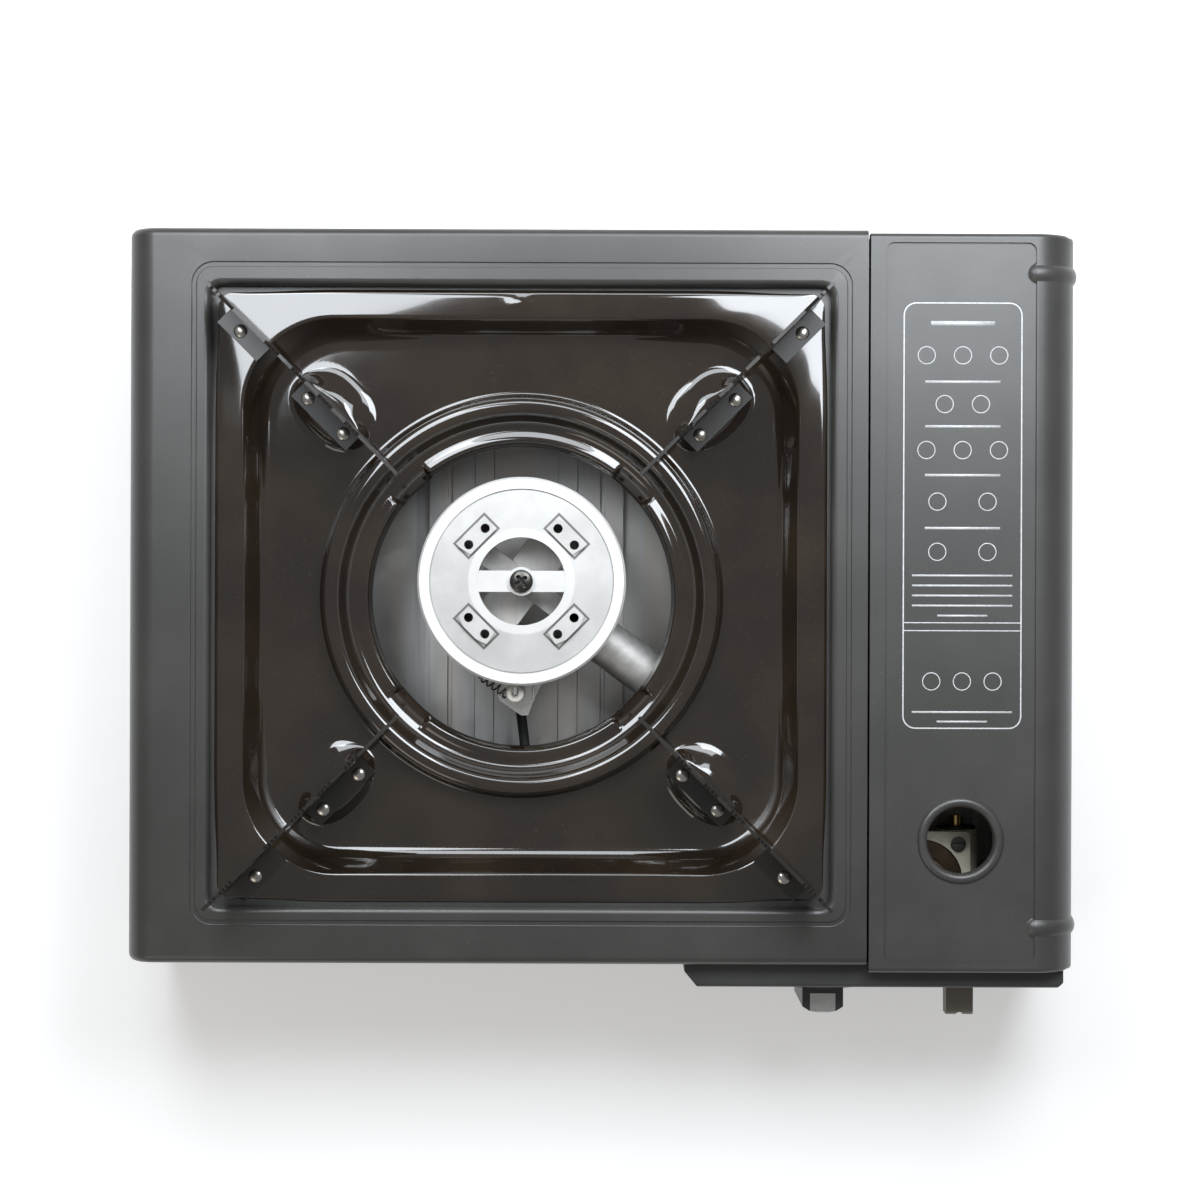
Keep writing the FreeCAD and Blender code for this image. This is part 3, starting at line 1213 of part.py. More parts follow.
def make_regulator():
    """Die-cast governor: block, square flange, inlet boss, gas arm and injector boss."""
    x = "reg_x"
    y = "reg_y"
    block = box("regulator_core", x + " - regulator_block + 2", y + " - regulator_block", "reg_z0",
                x + " + regulator_block", y + " + regulator_block", "reg_z1 - flange_thick")
    flange = round_box("regulator_flange", x + " - regulator_half", y + " - regulator_half",
                       x + " + regulator_half", y + " + regulator_half", "reg_z1 - flange_thick",
                       "reg_z1", "2")
    inlet = rod("regulator_inlet", "y", "inlet_x", y, "gas_z", "inlet_radius + 0.8",
                "inlet_y - seal_thick - (%s)" % y)
    arm = box("regulator_arm", "knob_x + valve_radius + 2", "valve_y + 5", "gas_z - 5",
              x + " - regulator_block + 3", "valve_y + valve_length - 3", "gas_z + 5")
    boss = rod("regulator_boss", "x", "tube_length + 24", "0", "gas_z", "5.5", "10")
    boss_place = swing(group("regulator_boss_placed", [boss]), "pan_x", "burner_y", "-tube_angle")
    seat = rod("nozzle_seat", "y", "inlet_x", "inlet_y - seal_thick - 8", "gas_z", "nozzle_radius",
               "20")
    screw_holes = [rod("cover_hole%d" % i, "z", x + " + %d * cover_screw_at" % u,
                       y + " + %d * cover_screw_at" % w, "reg_z1 - flange_thick - 1", "1.5", "5")
                   for i, (u, w) in enumerate(((1, 1), (-1, 1), (-1, -1), (1, -1)))]
    keep("regulator_body", cut("regulator_body", fuse("regulator_form", block, flange, inlet, arm,
                                                      boss_place), seat, *screw_holes))
    sheet = round_box("diaphragm", x + " - regulator_half", y + " - regulator_half",
                      x + " + regulator_half", y + " + regulator_half", "reg_z1", "cover_z0", "2")
    holes = [rod("diaphragm_hole%d" % i, "z", x + " + %d * cover_screw_at" % u,
                 y + " + %d * cover_screw_at" % w, "reg_z1 - 1", "1.5", "3")
             for i, (u, w) in enumerate(((1, 1), (-1, 1), (-1, -1), (1, -1)))]
    keep("diaphragm", cut("diaphragm_sheet", sheet, *holes))
    plate = round_box("cover_plate", x + " - regulator_half", y + " - regulator_half",
                      x + " + regulator_half", y + " + regulator_half", "cover_z0",
                      "cover_z0 + cover_flange", "2")
    lip = rod("cover_lip", "z", x, y, "cover_z0", "cover_radius + 1.2", "cover_flange + 0.7")
    eye = rod("cover_eye", "z", x, y, "cover_z0 - 1", "cover_radius + running_gap", "cover_flange + 3")
    dome = new_body("cover_dome")
    pad(dome, circle(sketch_on(dome, "XY_Plane", "cover_z0"), "0", "0", "cover_radius"), "cover_step")
    pad(dome, circle(sketch_on(dome, "XY_Plane", "cover_z0 + cover_step"), "0", "0", "spring_room + 1.5"),
        "cover_rise - cover_step")
    soften(dome, "1.5", at(z="cover_z1"))
    move(dome, x, y, "0")
    room = rod("cover_room", "z", x, y, "cover_z0 - 1", "spring_room", "cover_rise - 0.2")
    bores = [rod("cover_bore%d" % i, "z", x + " + %d * cover_screw_at" % u,
                 y + " + %d * cover_screw_at" % w, "cover_z0 - 1", "1.5", "4")
             for i, (u, w) in enumerate(((1, 1), (-1, 1), (-1, -1), (1, -1)))]
    keep("cover_frame", cut("cover_frame", fuse("cover_form", plate, lip), eye, *bores))
    keep("diaphragm_cover", cut("diaphragm_cover", dome, room))
    screws = []
    for i, (u, w) in enumerate(((1, 1), (-1, 1), (-1, -1), (1, -1))):
        sx = x + " + %d * cover_screw_at" % u
        sy = y + " + %d * cover_screw_at" % w
        shank = rod("cover_shank%d" % i, "z", sx, sy, "reg_z1 - flange_thick", "1.5",
                    "flange_thick + diaphragm_thick + cover_flange")
        head = rod("cover_head%d" % i, "z", sx, sy, "cover_z0 + cover_flange", "2.7", "1.8")
        slot = box("cover_slot%d" % i, sx + " - 1.8", sy + " - 0.4", "cover_z0 + cover_flange + 1",
                   sx + " + 1.8", sy + " + 0.4", "cover_z0 + cover_flange + 3")
        screws.append(cut("cover_screw%d" % i, fuse("cover_screw_form%d" % i, shank, head), slot))
    keep("cover_screws", group("cover_screws", screws))
    coil = DOC.addObject("Part::Feature", "regulator_spring")
    reach = number("spring_room - spring_wire")
    half = number("spring_wire / 2")
    helix = Part.makeHelix(number("spring_wire * 2"), number("cover_rise - spring_wire - 1.4"), reach)
    corners = [V(reach + u * half, 0, w * half) for u, w in ((-1, -1), (1, -1), (1, 1), (-1, 1), (-1, -1))]
    coil.Shape = Part.Wire(helix.Edges).makePipeShell([Part.makePolygon(corners)], True, True)
    move(coil, x, y, "cover_z0 + spring_wire / 2")
    keep("regulator_spring", coil)
    tip = "inlet_y + nozzle_reach"
    pipe = rod("nozzle_pipe", "y", "inlet_x", "inlet_y - seal_thick - 8", "gas_z", "nozzle_radius",
               "(%s) - (inlet_y - seal_thick - 8)" % tip)
    bore = rod("nozzle_bore", "y", "inlet_x", "inlet_y - seal_thick - 9", "gas_z", "1", "30")
    keep("inlet_nozzle", cut("inlet_nozzle", pipe, bore))
    disc = rod("seal_disc", "y", "inlet_x", "inlet_y - seal_thick", "gas_z", "inlet_radius",
               "seal_thick")
    eye = rod("seal_eye", "y", "inlet_x", "inlet_y - seal_thick - 1", "gas_z", "nozzle_radius",
              "seal_thick + 2")
    keep("inlet_seal", cut("inlet_seal", disc, eye))
    pipe = rod("injector_pipe", "x", "tube_length + 9", "0", "gas_z", "3.2", "15")
    cross = rod("injector_hole", "x", "tube_length + 8", "0", "gas_z", "0.4", "17")
    injector = cut("injector", pipe, cross)
    keep("injector", swing(injector, "pan_x", "burner_y", "-tube_angle"))
    z = "reg_z0"
    y0 = "reg_y - regulator_block"
    profile = [(y0 + " - 10", "tray_top"), (y0, "tray_top"), (y0, z + " - sheet * 2"),
               ("reg_y + regulator_block", z + " - sheet * 2"), ("reg_y + regulator_block", z),
               (y0 + " - sheet * 2", z), (y0 + " - sheet * 2", "tray_top + sheet * 2"),
               (y0 + " - 10", "tray_top + sheet * 2")]
    stand = slab("regulator_bracket", "YZ_Plane", x + " - regulator_block + 2",
                 "regulator_block * 2 - 2", profile)
    keep("regulator_bracket", stand)


# Lever and cartridge carriage


def make_lever():
    """Lock lever: finger tab, cross plate, cheek on its pivot and drive pin."""
    x0 = "cheek_x0"
    s = "lever_sheet"
    tab_z = "gas_z + 7"
    tab = box("lever_tab", "inlet_x - 3", "lever_tip + 2", tab_z, "inlet_x + 3", "wall_in + 6",
              tab_z + " + " + s)
    across = box("lever_across", "inlet_x - 5", "wall_in + 4.2", "gas_z + 1", x0 + " + " + s,
                 "wall_in + 4.2 + " + s, "gas_z + 11")
    cheek = slab("lever_cheek", "YZ_Plane", x0, s,
                 [("wall_in + 4.2", "gas_z - 2"), ("pivot_y + 5", "gas_z - 2"),
                  ("pivot_y + 4", "pivot_z + lever_arm + 3"), ("pivot_y - 4", "pivot_z + lever_arm + 3"),
                  ("pivot_y - 5", "gas_z + 11"), ("wall_in + 4.2", "gas_z + 11")])
    hole = rod("lever_hole", "x", x0 + " - 1", "pivot_y", "pivot_z", "pivot_radius + running_gap", "6")
    pin = rod("lever_drive_pin", "x", x0, "pivot_y", "pivot_z + lever_arm", "drive_radius",
              s + " + 7.5")
    keep("lock_lever", cut("lock_lever", fuse("lever_form", tab, across, cheek, pin), hole))

    cap = new_body("lever_cap_form")
    profile = [("lever_tip", "gas_z + 4"), ("panel_y - 1.2", "gas_z + 3"),
               ("panel_y - 1.2", "lever_z1"), ("lever_tip + 1", "lever_z1"), ("lever_tip", "lever_z1 - 1")]
    pad(cap, polygon(sketch_on(cap, "YZ_Plane", "inlet_x - lever_width / 2"), profile), "lever_width")
    room = box("lever_cap_room", "inlet_x - 3", "lever_tip + 2", tab_z, "inlet_x + 3", "panel_y",
               tab_z + " + " + s)
    notch = rod("lever_cap_notch", "z", "inlet_x", "lever_tip - 0.6", "gas_z", "1.4", "20")
    keep("lever_cap", cut("lever_cap", cap, room, notch))
    pin = rod("lever_pivot_pin", "x", x0 + " - 4", "pivot_y", "pivot_z", "pivot_radius", s + " + 8")
    keep("lever_pivot_pin", pin)
    plates = []
    for i, x in enumerate((x0 + " - 3.2", x0 + " + " + s + " + 2")):
        plates.append(slab("lever_plate%d" % i, "YZ_Plane", x, "1.2",
                           [("pivot_y - 6", "tray_top"), ("pivot_y + 6", "tray_top"),
                            ("pivot_y + 4", "pivot_z + 4"), ("pivot_y - 4", "pivot_z + 4")]))
    foot = box("lever_plate_foot", x0 + " - 3.2", "pivot_y - 6", "tray_top", x0 + " + " + s + " + 3.2",
               "pivot_y + 6", "tray_top + 1.2")
    bores = rod("lever_plate_bore", "x", x0 + " - 6", "pivot_y", "pivot_z", "pivot_radius",
                s + " + 12")
    keep("lever_bracket", cut("lever_bracket", fuse("lever_plates", foot, *plates), bores))


def make_carriage():
    """Forked plate that draws the cartridge's collar on to the inlet, and its rails."""
    y = "carriage_y"
    t = "carriage_sheet"
    x1 = "cheek_x0 + lever_sheet + 4.8"
    z0 = "tray_top + 5.5"
    plate = slab("fork_plate", "XZ_Plane", "-(%s + %s)" % (y, t), t,
                 [("inlet_x - 9", z0), ("inlet_x + 9", z0), ("inlet_x + 9", "gas_z - 20"),
                  ("inlet_x + carriage_half", "gas_z - 16"), ("inlet_x + carriage_half", "gas_z + 6"),
                  (x1 + " + " + t, "gas_z + 8"), (x1 + " + " + t, "gas_z + 18"),
                  ("inlet_x + collar_opening", "gas_z + 18"), ("inlet_x + collar_opening", "gas_z"),
                  ("inlet_x - collar_opening", "gas_z"), ("inlet_x - collar_opening", "gas_z + 14"),
                  ("inlet_x - carriage_half", "gas_z + 14"), ("inlet_x - carriage_half", "gas_z - 16"),
                  ("inlet_x - 9", "gas_z - 20")])
    ring = rod("fork_opening", "y", "inlet_x", y + " - 2", "gas_z", "collar_opening", "6")
    arm = box("carriage_arm", x1, "pivot_y - 5", "gas_z + 10", x1 + " + " + t, y, "gas_z + 18")
    slot = box("carriage_slot", x1 + " - 1", "pivot_y - drive_radius - slot_gap",
               "pivot_z + lever_arm - 4", x1 + " + " + t + " + 1",
               "pivot_y + drive_radius + slot_gap", "gas_z + 20")
    foot = box("carriage_foot_plate", "inlet_x - carriage_foot / 2", y + " - 24", z0,
               "inlet_x + carriage_foot / 2", y + " + " + t, z0 + " + " + t)
    keep("cartridge_carriage", cut("cartridge_carriage", fuse("carriage_form", plate, arm, foot),
                                   ring, slot))
    half = "carriage_foot / 2"
    side = [(half + " + slot_gap", z0 + " + %s + slot_gap" % t), (half + " - 2", z0 + " + %s + slot_gap" % t),
            (half + " - 2", z0 + " + %s * 2 + slot_gap" % t),
            (half + " + slot_gap + " + t, z0 + " + %s * 2 + slot_gap" % t)]
    upright = [(half + " - 3.5", "tray_top + " + t), (half + " - 3.5", z0 + " - slot_gap"),
               (half + " + slot_gap", z0 + " - slot_gap")]
    ring_points = []
    for sign, order in ((1, 1), (-1, -1)):
        chain = upright + side + [(half + " + slot_gap + " + t, "tray_top")]
        chain = chain if order > 0 else list(reversed(chain))
        ring_points += [("inlet_x + %d * (%s)" % (sign, u), w) for u, w in chain]
    guide = slab("cartridge_guide", "XZ_Plane", "-(%s - 3.5)" % y, "guide_length", ring_points)
    keep("cartridge_guide", guide)


def make_bay_fittings():
    """Saddles under the cartridge and the sprung stop behind it."""
    saddles = []
    tool_r = "cartridge_radius + nest_gap"
    for i, y in enumerate(("carriage_y + 24", "carriage_y + 150")):
        block = box("saddle_block%d" % i, "inlet_x - 20", y, "tray_top", "inlet_x + 20", y + " + 8",
                    "gas_z - 28")
        space = rod("saddle_space%d" % i, "y", "inlet_x", y + " - 1", "gas_z", tool_r, "10")
        saddles.append(cut("saddle%d" % i, block, space))
    keep("cartridge_saddles", group("cartridge_saddles", saddles))
    wall = "bay_rear - sheet"
    y0 = "inlet_y + cartridge_length + 2"
    stop = slab("cartridge_stop", "YZ_Plane", "inlet_x - 12", "24",
                [(wall, "gas_z + 14"), (wall + " - 1.2", "gas_z + 14"), (wall + " - 1.2", "gas_z + 9"),
                 (y0, "gas_z + 4"), (y0, "gas_z - 4"), (wall + " - 1.2", "gas_z - 9"),
                 (wall + " - 1.2", "gas_z - 14"), (wall, "gas_z - 14"), (wall, "gas_z - 8"),
                 (y0 + " + 1.2", "gas_z - 3.4"), (y0 + " + 1.2", "gas_z + 3.4"), (wall, "gas_z + 8")])
    keep("cartridge_stop", stop)


# Lid


def lid_form(tag, inset):
    """Solid with the lid's outer surface, drawn in by a distance."""
    form = new_body("lid_form" + tag)
    z0 = "top - lid_side_height"
    left = "lid_left + " + inset
    side = "lid_side - " + inset
    crown = "top - " + inset
    outline = [(left, z0), (side, z0), (side, crown), (left, crown)]
    pad(form, polygon(sketch_on(form, "XZ_Plane", "-lid_rear + " + inset), outline),
        "lid_rear - lid_front - 2 * " + inset)
    soften(form, "lid_bend - " + inset, at(x=side, z=crown))
    soften(form, "lid_edge - " + inset, at(y="lid_front + " + inset, z=crown),
           at(y="lid_rear - " + inset, z=crown))
    recess = ("lid_left + recess_left - " + inset, "lid_front + recess_end - " + inset,
              "lid_side - lid_bend - 0.6 + " + inset, "lid_rear - recess_end + " + inset)
    pocket(form, rounded(sketch_on(form, "XY_Plane", crown), *recess, "recess_corner + " + inset),
           "recess_depth")
    return form


def make_lid():
    """Pressed lid: recessed top, deep side bend crossed by two ribs, window for the inlet."""
    z0 = "top - lid_side_height"
    solid = lid_form("_a", "0")
    room = lid_form("_b", "sheet")
    low = z0 + " - 1"
    high = "top - lid_end_height"
    inner = "lid_side - sheet - nest_gap"
    ends = [box("lid_end_front", "lid_left - 1", "lid_front - 1", low, inner, "lid_front + sheet", high),
            box("lid_end_rear", "lid_left - 1", "lid_rear - sheet", low, inner, "lid_rear + 1", high),
            box("lid_end_left", "lid_left - 1", "lid_front - 1", low, "lid_left + sheet", "lid_rear + 1",
                high)]
    ends.append(box("lid_panel_corner", inner + " - 1", "lid_front - 1", low, "right + 1",
                    "front + nest_gap", "hinge_z + hinge_inset"))
    form = cut("lid_sheet", solid, room, *ends)
    ribs = []
    for i, y in enumerate(("hinge_front", "hinge_rear")):
        reach = "lid_bend + lid_rib_proud - lid_rib_radius"
        x = "lid_side - lid_bend"
        z = "top - lid_bend"
        bend = DOC.addObject("Part::Torus", "rib_bend%d" % i)
        bend.Placement = FreeCAD.Placement(V(), Turn(V(1, 0, 0), 90))
        drive(bend, Radius1=reach, Radius2="lid_rib_radius")
        move(bend, x, y, z)
        quarter = box("rib_quarter%d" % i, x, y + " - 8", z, "right + 5", y + " + 8", "top + 5")
        fall = rod("rib_fall%d" % i, "z", "%s + %s" % (x, reach), y, z0, "lid_rib_radius",
                   "(%s) - (%s)" % (z, z0))
        end = ball("rib_end%d" % i, x, y, "%s + %s" % (z, reach), "lid_rib_radius")
        proud = fuse("rib_form%d" % i, common("rib_arc%d" % i, bend, quarter), fall, end)
        ribs.append(cut("rib%d" % i, proud, solid))
    wx = "seam + window_x"
    wy = "front + window_y"
    top = "top - recess_depth"
    ring = DOC.addObject("Part::Torus", "window_bead")
    drive(ring, Radius1="(window_radius + window_ring) / 2", Radius2="(window_ring - window_radius) / 2")
    move(ring, wx, wy, top + " - 0.4")
    plate = box("window_plate", wx + " - 30", wy + " - 30", top + " - 5", wx + " + 30", wy + " + 30",
                top + " - sheet / 2")
    bead = cut("window_bead_top", ring, plate)
    neck = rod("window_neck", "z", wx, wy, top + " - 3", "window_radius + sheet", "3")
    hole = rod("window_hole", "z", wx, wy, top + " - 6", "window_radius", "12")
    notches = []
    ears = []
    for i, y in enumerate(("hinge_front", "hinge_rear")):
        notches.append(box("hinge_notch%d" % i, "hinge_x - 6", y + " - hinge_width / 2 - 2.4", z0 + " - 1",
                           "right + 3", y + " + hinge_width / 2 + 2.4", z0 + " + 13"))
        for side in (-1, 1):
            y0 = "%s + %d * (hinge_width / 2 + 1) - 0.6" % (y, side)
            ear = slab("lid_ear%d%d" % (i, side + 1), "XZ_Plane", "-(%s) - 1.2" % y0, "1.2",
                       [("hinge_x - 2", "hinge_z - 2"), ("lid_side - sheet", "hinge_z - 2"),
                        ("lid_side - sheet / 2", "top - lid_bend"),
                        ("lid_side - sheet / 2 - 0.5", "top - lid_bend + 4"),
                        ("hinge_x - 3", "hinge_z + 14")])
            eye = rod("lid_eye%d%d" % (i, side + 1), "y", "hinge_x", y0, "hinge_z", "hinge_eye", "1.2")
            ears += [ear, eye]
    bores = [rod("lid_pin_bore%d" % i, "y", "hinge_x", y + " - 8", "hinge_z",
                 "hinge_radius + running_gap", "16")
             for i, y in enumerate(("hinge_front", "hinge_rear"))]
    shell = cut("lid_shell", fuse("lid_sum", form, bead, neck, *ribs), hole, *notches)
    keep("lid", cut("lid", fuse("lid_with_ears", shell, *ears), *bores))


def make_hinges():
    """Two brackets on the bay's side wall, each with an eye that grips its pin."""
    brackets = []
    pins = []
    for i, y in enumerate(("hinge_front", "hinge_rear")):
        y0 = y + " - hinge_width / 2 + 0.2"
        length = "hinge_width - 0.4"
        plate = slab("bracket_plate%d" % i, "XZ_Plane", "-(%s) - (%s)" % (y0, length), length,
                     [("bay_side - sheet", "bay_side_top - 14"), ("bay_side - sheet", "bay_side_top"),
                      ("hinge_x + 1", "hinge_z - 1"), ("hinge_x - 2.4", "hinge_z - 1"),
                      ("bay_side - sheet - 1.4", "bay_side_top - 14")])
        eye = rod("bracket_eye%d" % i, "y", "hinge_x", y0, "hinge_z", "hinge_eye - 0.3", length)
        bore = rod("bracket_pin_bore%d" % i, "y", "hinge_x", y0 + " - 1", "hinge_z", "hinge_radius",
                   length + " + 2")
        brackets.append(cut("hinge_bracket%d" % i, fuse("hinge_bracket_form%d" % i, plate, eye), bore))
        pins.append(rod("hinge_pin%d" % i, "y", "hinge_x", y + " - hinge_width / 2 - 2.2", "hinge_z",
                        "hinge_radius", "hinge_width + 4.4"))
    keep("lid_hinge_brackets", group("lid_hinge_brackets", brackets))
    keep("lid_hinge_pins", group("lid_hinge_pins", pins))


def build():
    for make in (make_top_shell, make_base_plate, make_feet, make_bay_wall, make_partition,
                 make_heat_shield, make_control_panel, make_drip_pan, make_support_arms,
                 make_burner_cap, make_burner_base, make_burner_trim, make_electrode, make_cable,
                 make_piezo, make_valve, make_knob, make_regulator, make_lever, make_carriage,
                 make_bay_fittings, make_lid, make_hinges):
        make()


def check():
    """Stop if any object failed or any piece is not a sound shape."""
    DOC.recompute()
    failed = [item.Name for item in DOC.Objects
              if "Invalid" in item.State or "Error" in item.State]
    if failed:
        raise RuntimeError("failed objects: " + ", ".join(failed))
    for node, item in PIECES.items():
        shape = item.Shape
        if shape.isNull() or not shape.isValid() or not shape.Solids:
            raise RuntimeError("unsound piece: " + node)


def write():
    os.makedirs("parts", exist_ok=True)
    for node, item in PIECES.items():
        item.Shape.exportStep(os.path.join("parts", node + ".step"))
        box_of = item.Shape.BoundBox
        print("%-24s %2d solids %9.1f mm3  x %.1f %.1f  y %.1f %.1f  z %.1f %.1f"
              % (node, len(item.Shape.Solids), item.Shape.Volume, box_of.XMin, box_of.XMax,
                 box_of.YMin, box_of.YMax, box_of.ZMin, box_of.ZMax))
    print("pieces", len(PIECES))


build()
check()
write()
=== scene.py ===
import json
import logging
import math
from dataclasses import dataclass, field
from enum import Enum
from typing import Any, Iterable, Sequence

import bmesh
import bpy
from mathutils import Matrix, Vector

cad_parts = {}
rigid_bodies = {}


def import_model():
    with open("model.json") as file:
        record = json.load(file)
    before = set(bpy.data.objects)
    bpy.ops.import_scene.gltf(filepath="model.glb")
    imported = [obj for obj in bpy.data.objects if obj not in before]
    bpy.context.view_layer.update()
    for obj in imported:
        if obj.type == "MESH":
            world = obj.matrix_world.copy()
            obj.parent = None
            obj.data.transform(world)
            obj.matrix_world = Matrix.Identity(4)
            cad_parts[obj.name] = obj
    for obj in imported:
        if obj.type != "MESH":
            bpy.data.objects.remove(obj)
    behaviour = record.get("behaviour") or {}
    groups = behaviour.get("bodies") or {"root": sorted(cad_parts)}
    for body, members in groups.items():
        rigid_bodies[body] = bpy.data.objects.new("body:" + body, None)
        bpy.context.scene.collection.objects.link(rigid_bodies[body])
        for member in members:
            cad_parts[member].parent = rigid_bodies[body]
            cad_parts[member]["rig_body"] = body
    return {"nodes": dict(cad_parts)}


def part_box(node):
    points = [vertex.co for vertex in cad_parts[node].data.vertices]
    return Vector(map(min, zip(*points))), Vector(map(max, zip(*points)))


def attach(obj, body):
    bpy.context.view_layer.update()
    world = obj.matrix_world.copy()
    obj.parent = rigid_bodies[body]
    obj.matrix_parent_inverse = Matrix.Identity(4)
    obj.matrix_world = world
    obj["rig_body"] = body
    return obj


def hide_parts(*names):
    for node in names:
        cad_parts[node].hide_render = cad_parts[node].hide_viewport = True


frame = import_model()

LOG = logging.getLogger("stove")
MM = 0.001
WELD = 2e-6
FLAT_ANGLE = 0.3
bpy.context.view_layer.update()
Colour = tuple[float, float, float]


# Shader maths


class Wire:
    """A shader socket on which arithmetic adds Math nodes."""

    def __init__(self, graph: "Graph", socket: bpy.types.NodeSocket) -> None:
        """Hold the socket and the graph that it is in."""
        self.graph = graph
        self.socket = socket

    def apply(self, operation: str, *values: Any) -> "Wire":
        """Add a Math node; the values, numbers or wires, go to its inputs in order."""
        node = self.graph.node("ShaderNodeMath", {"operation": operation}, dict(enumerate(values)))
        return Wire(self.graph, node.outputs[0])

    def __add__(self, other: Any) -> "Wire":
        """Sum."""
        return self.apply("ADD", self, other)

    def __radd__(self, other: Any) -> "Wire":
        """Sum, reflected."""
        return self.apply("ADD", other, self)

    def __sub__(self, other: Any) -> "Wire":
        """Difference."""
        return self.apply("SUBTRACT", self, other)

    def __rsub__(self, other: Any) -> "Wire":
        """Difference, reflected."""
        return self.apply("SUBTRACT", other, self)

    def __mul__(self, other: Any) -> "Wire":
        """Product."""
        return self.apply("MULTIPLY", self, other)

    def __rmul__(self, other: Any) -> "Wire":
        """Product, reflected."""
        return self.apply("MULTIPLY", other, self)

    def __truediv__(self, other: Any) -> "Wire":
        """Quotient."""
        return self.apply("DIVIDE", self, other)

    def power(self, other: float) -> "Wire":
        """Raise to a power."""
        return self.apply("POWER", self, other)

    def ease(self, low: float, high: float, out_low: float = 0.0, out_high: float = 1.0) -> "Wire":
        """Smooth step from one range to another.

        Args:
            low: Value where the step starts.
            high: Value where it ends.
            out_low: Result at the start.
            out_high: Result at the end.

        Returns:
            The stepped value.
        """
        node = self.graph.node(
            "ShaderNodeMapRange",
            {"interpolation_type": "SMOOTHSTEP"},
            {"Value": self, "From Min": low, "From Max": high, "To Min": out_low, "To Max": out_high},
        )
        return Wire(self.graph, node.outputs[0])


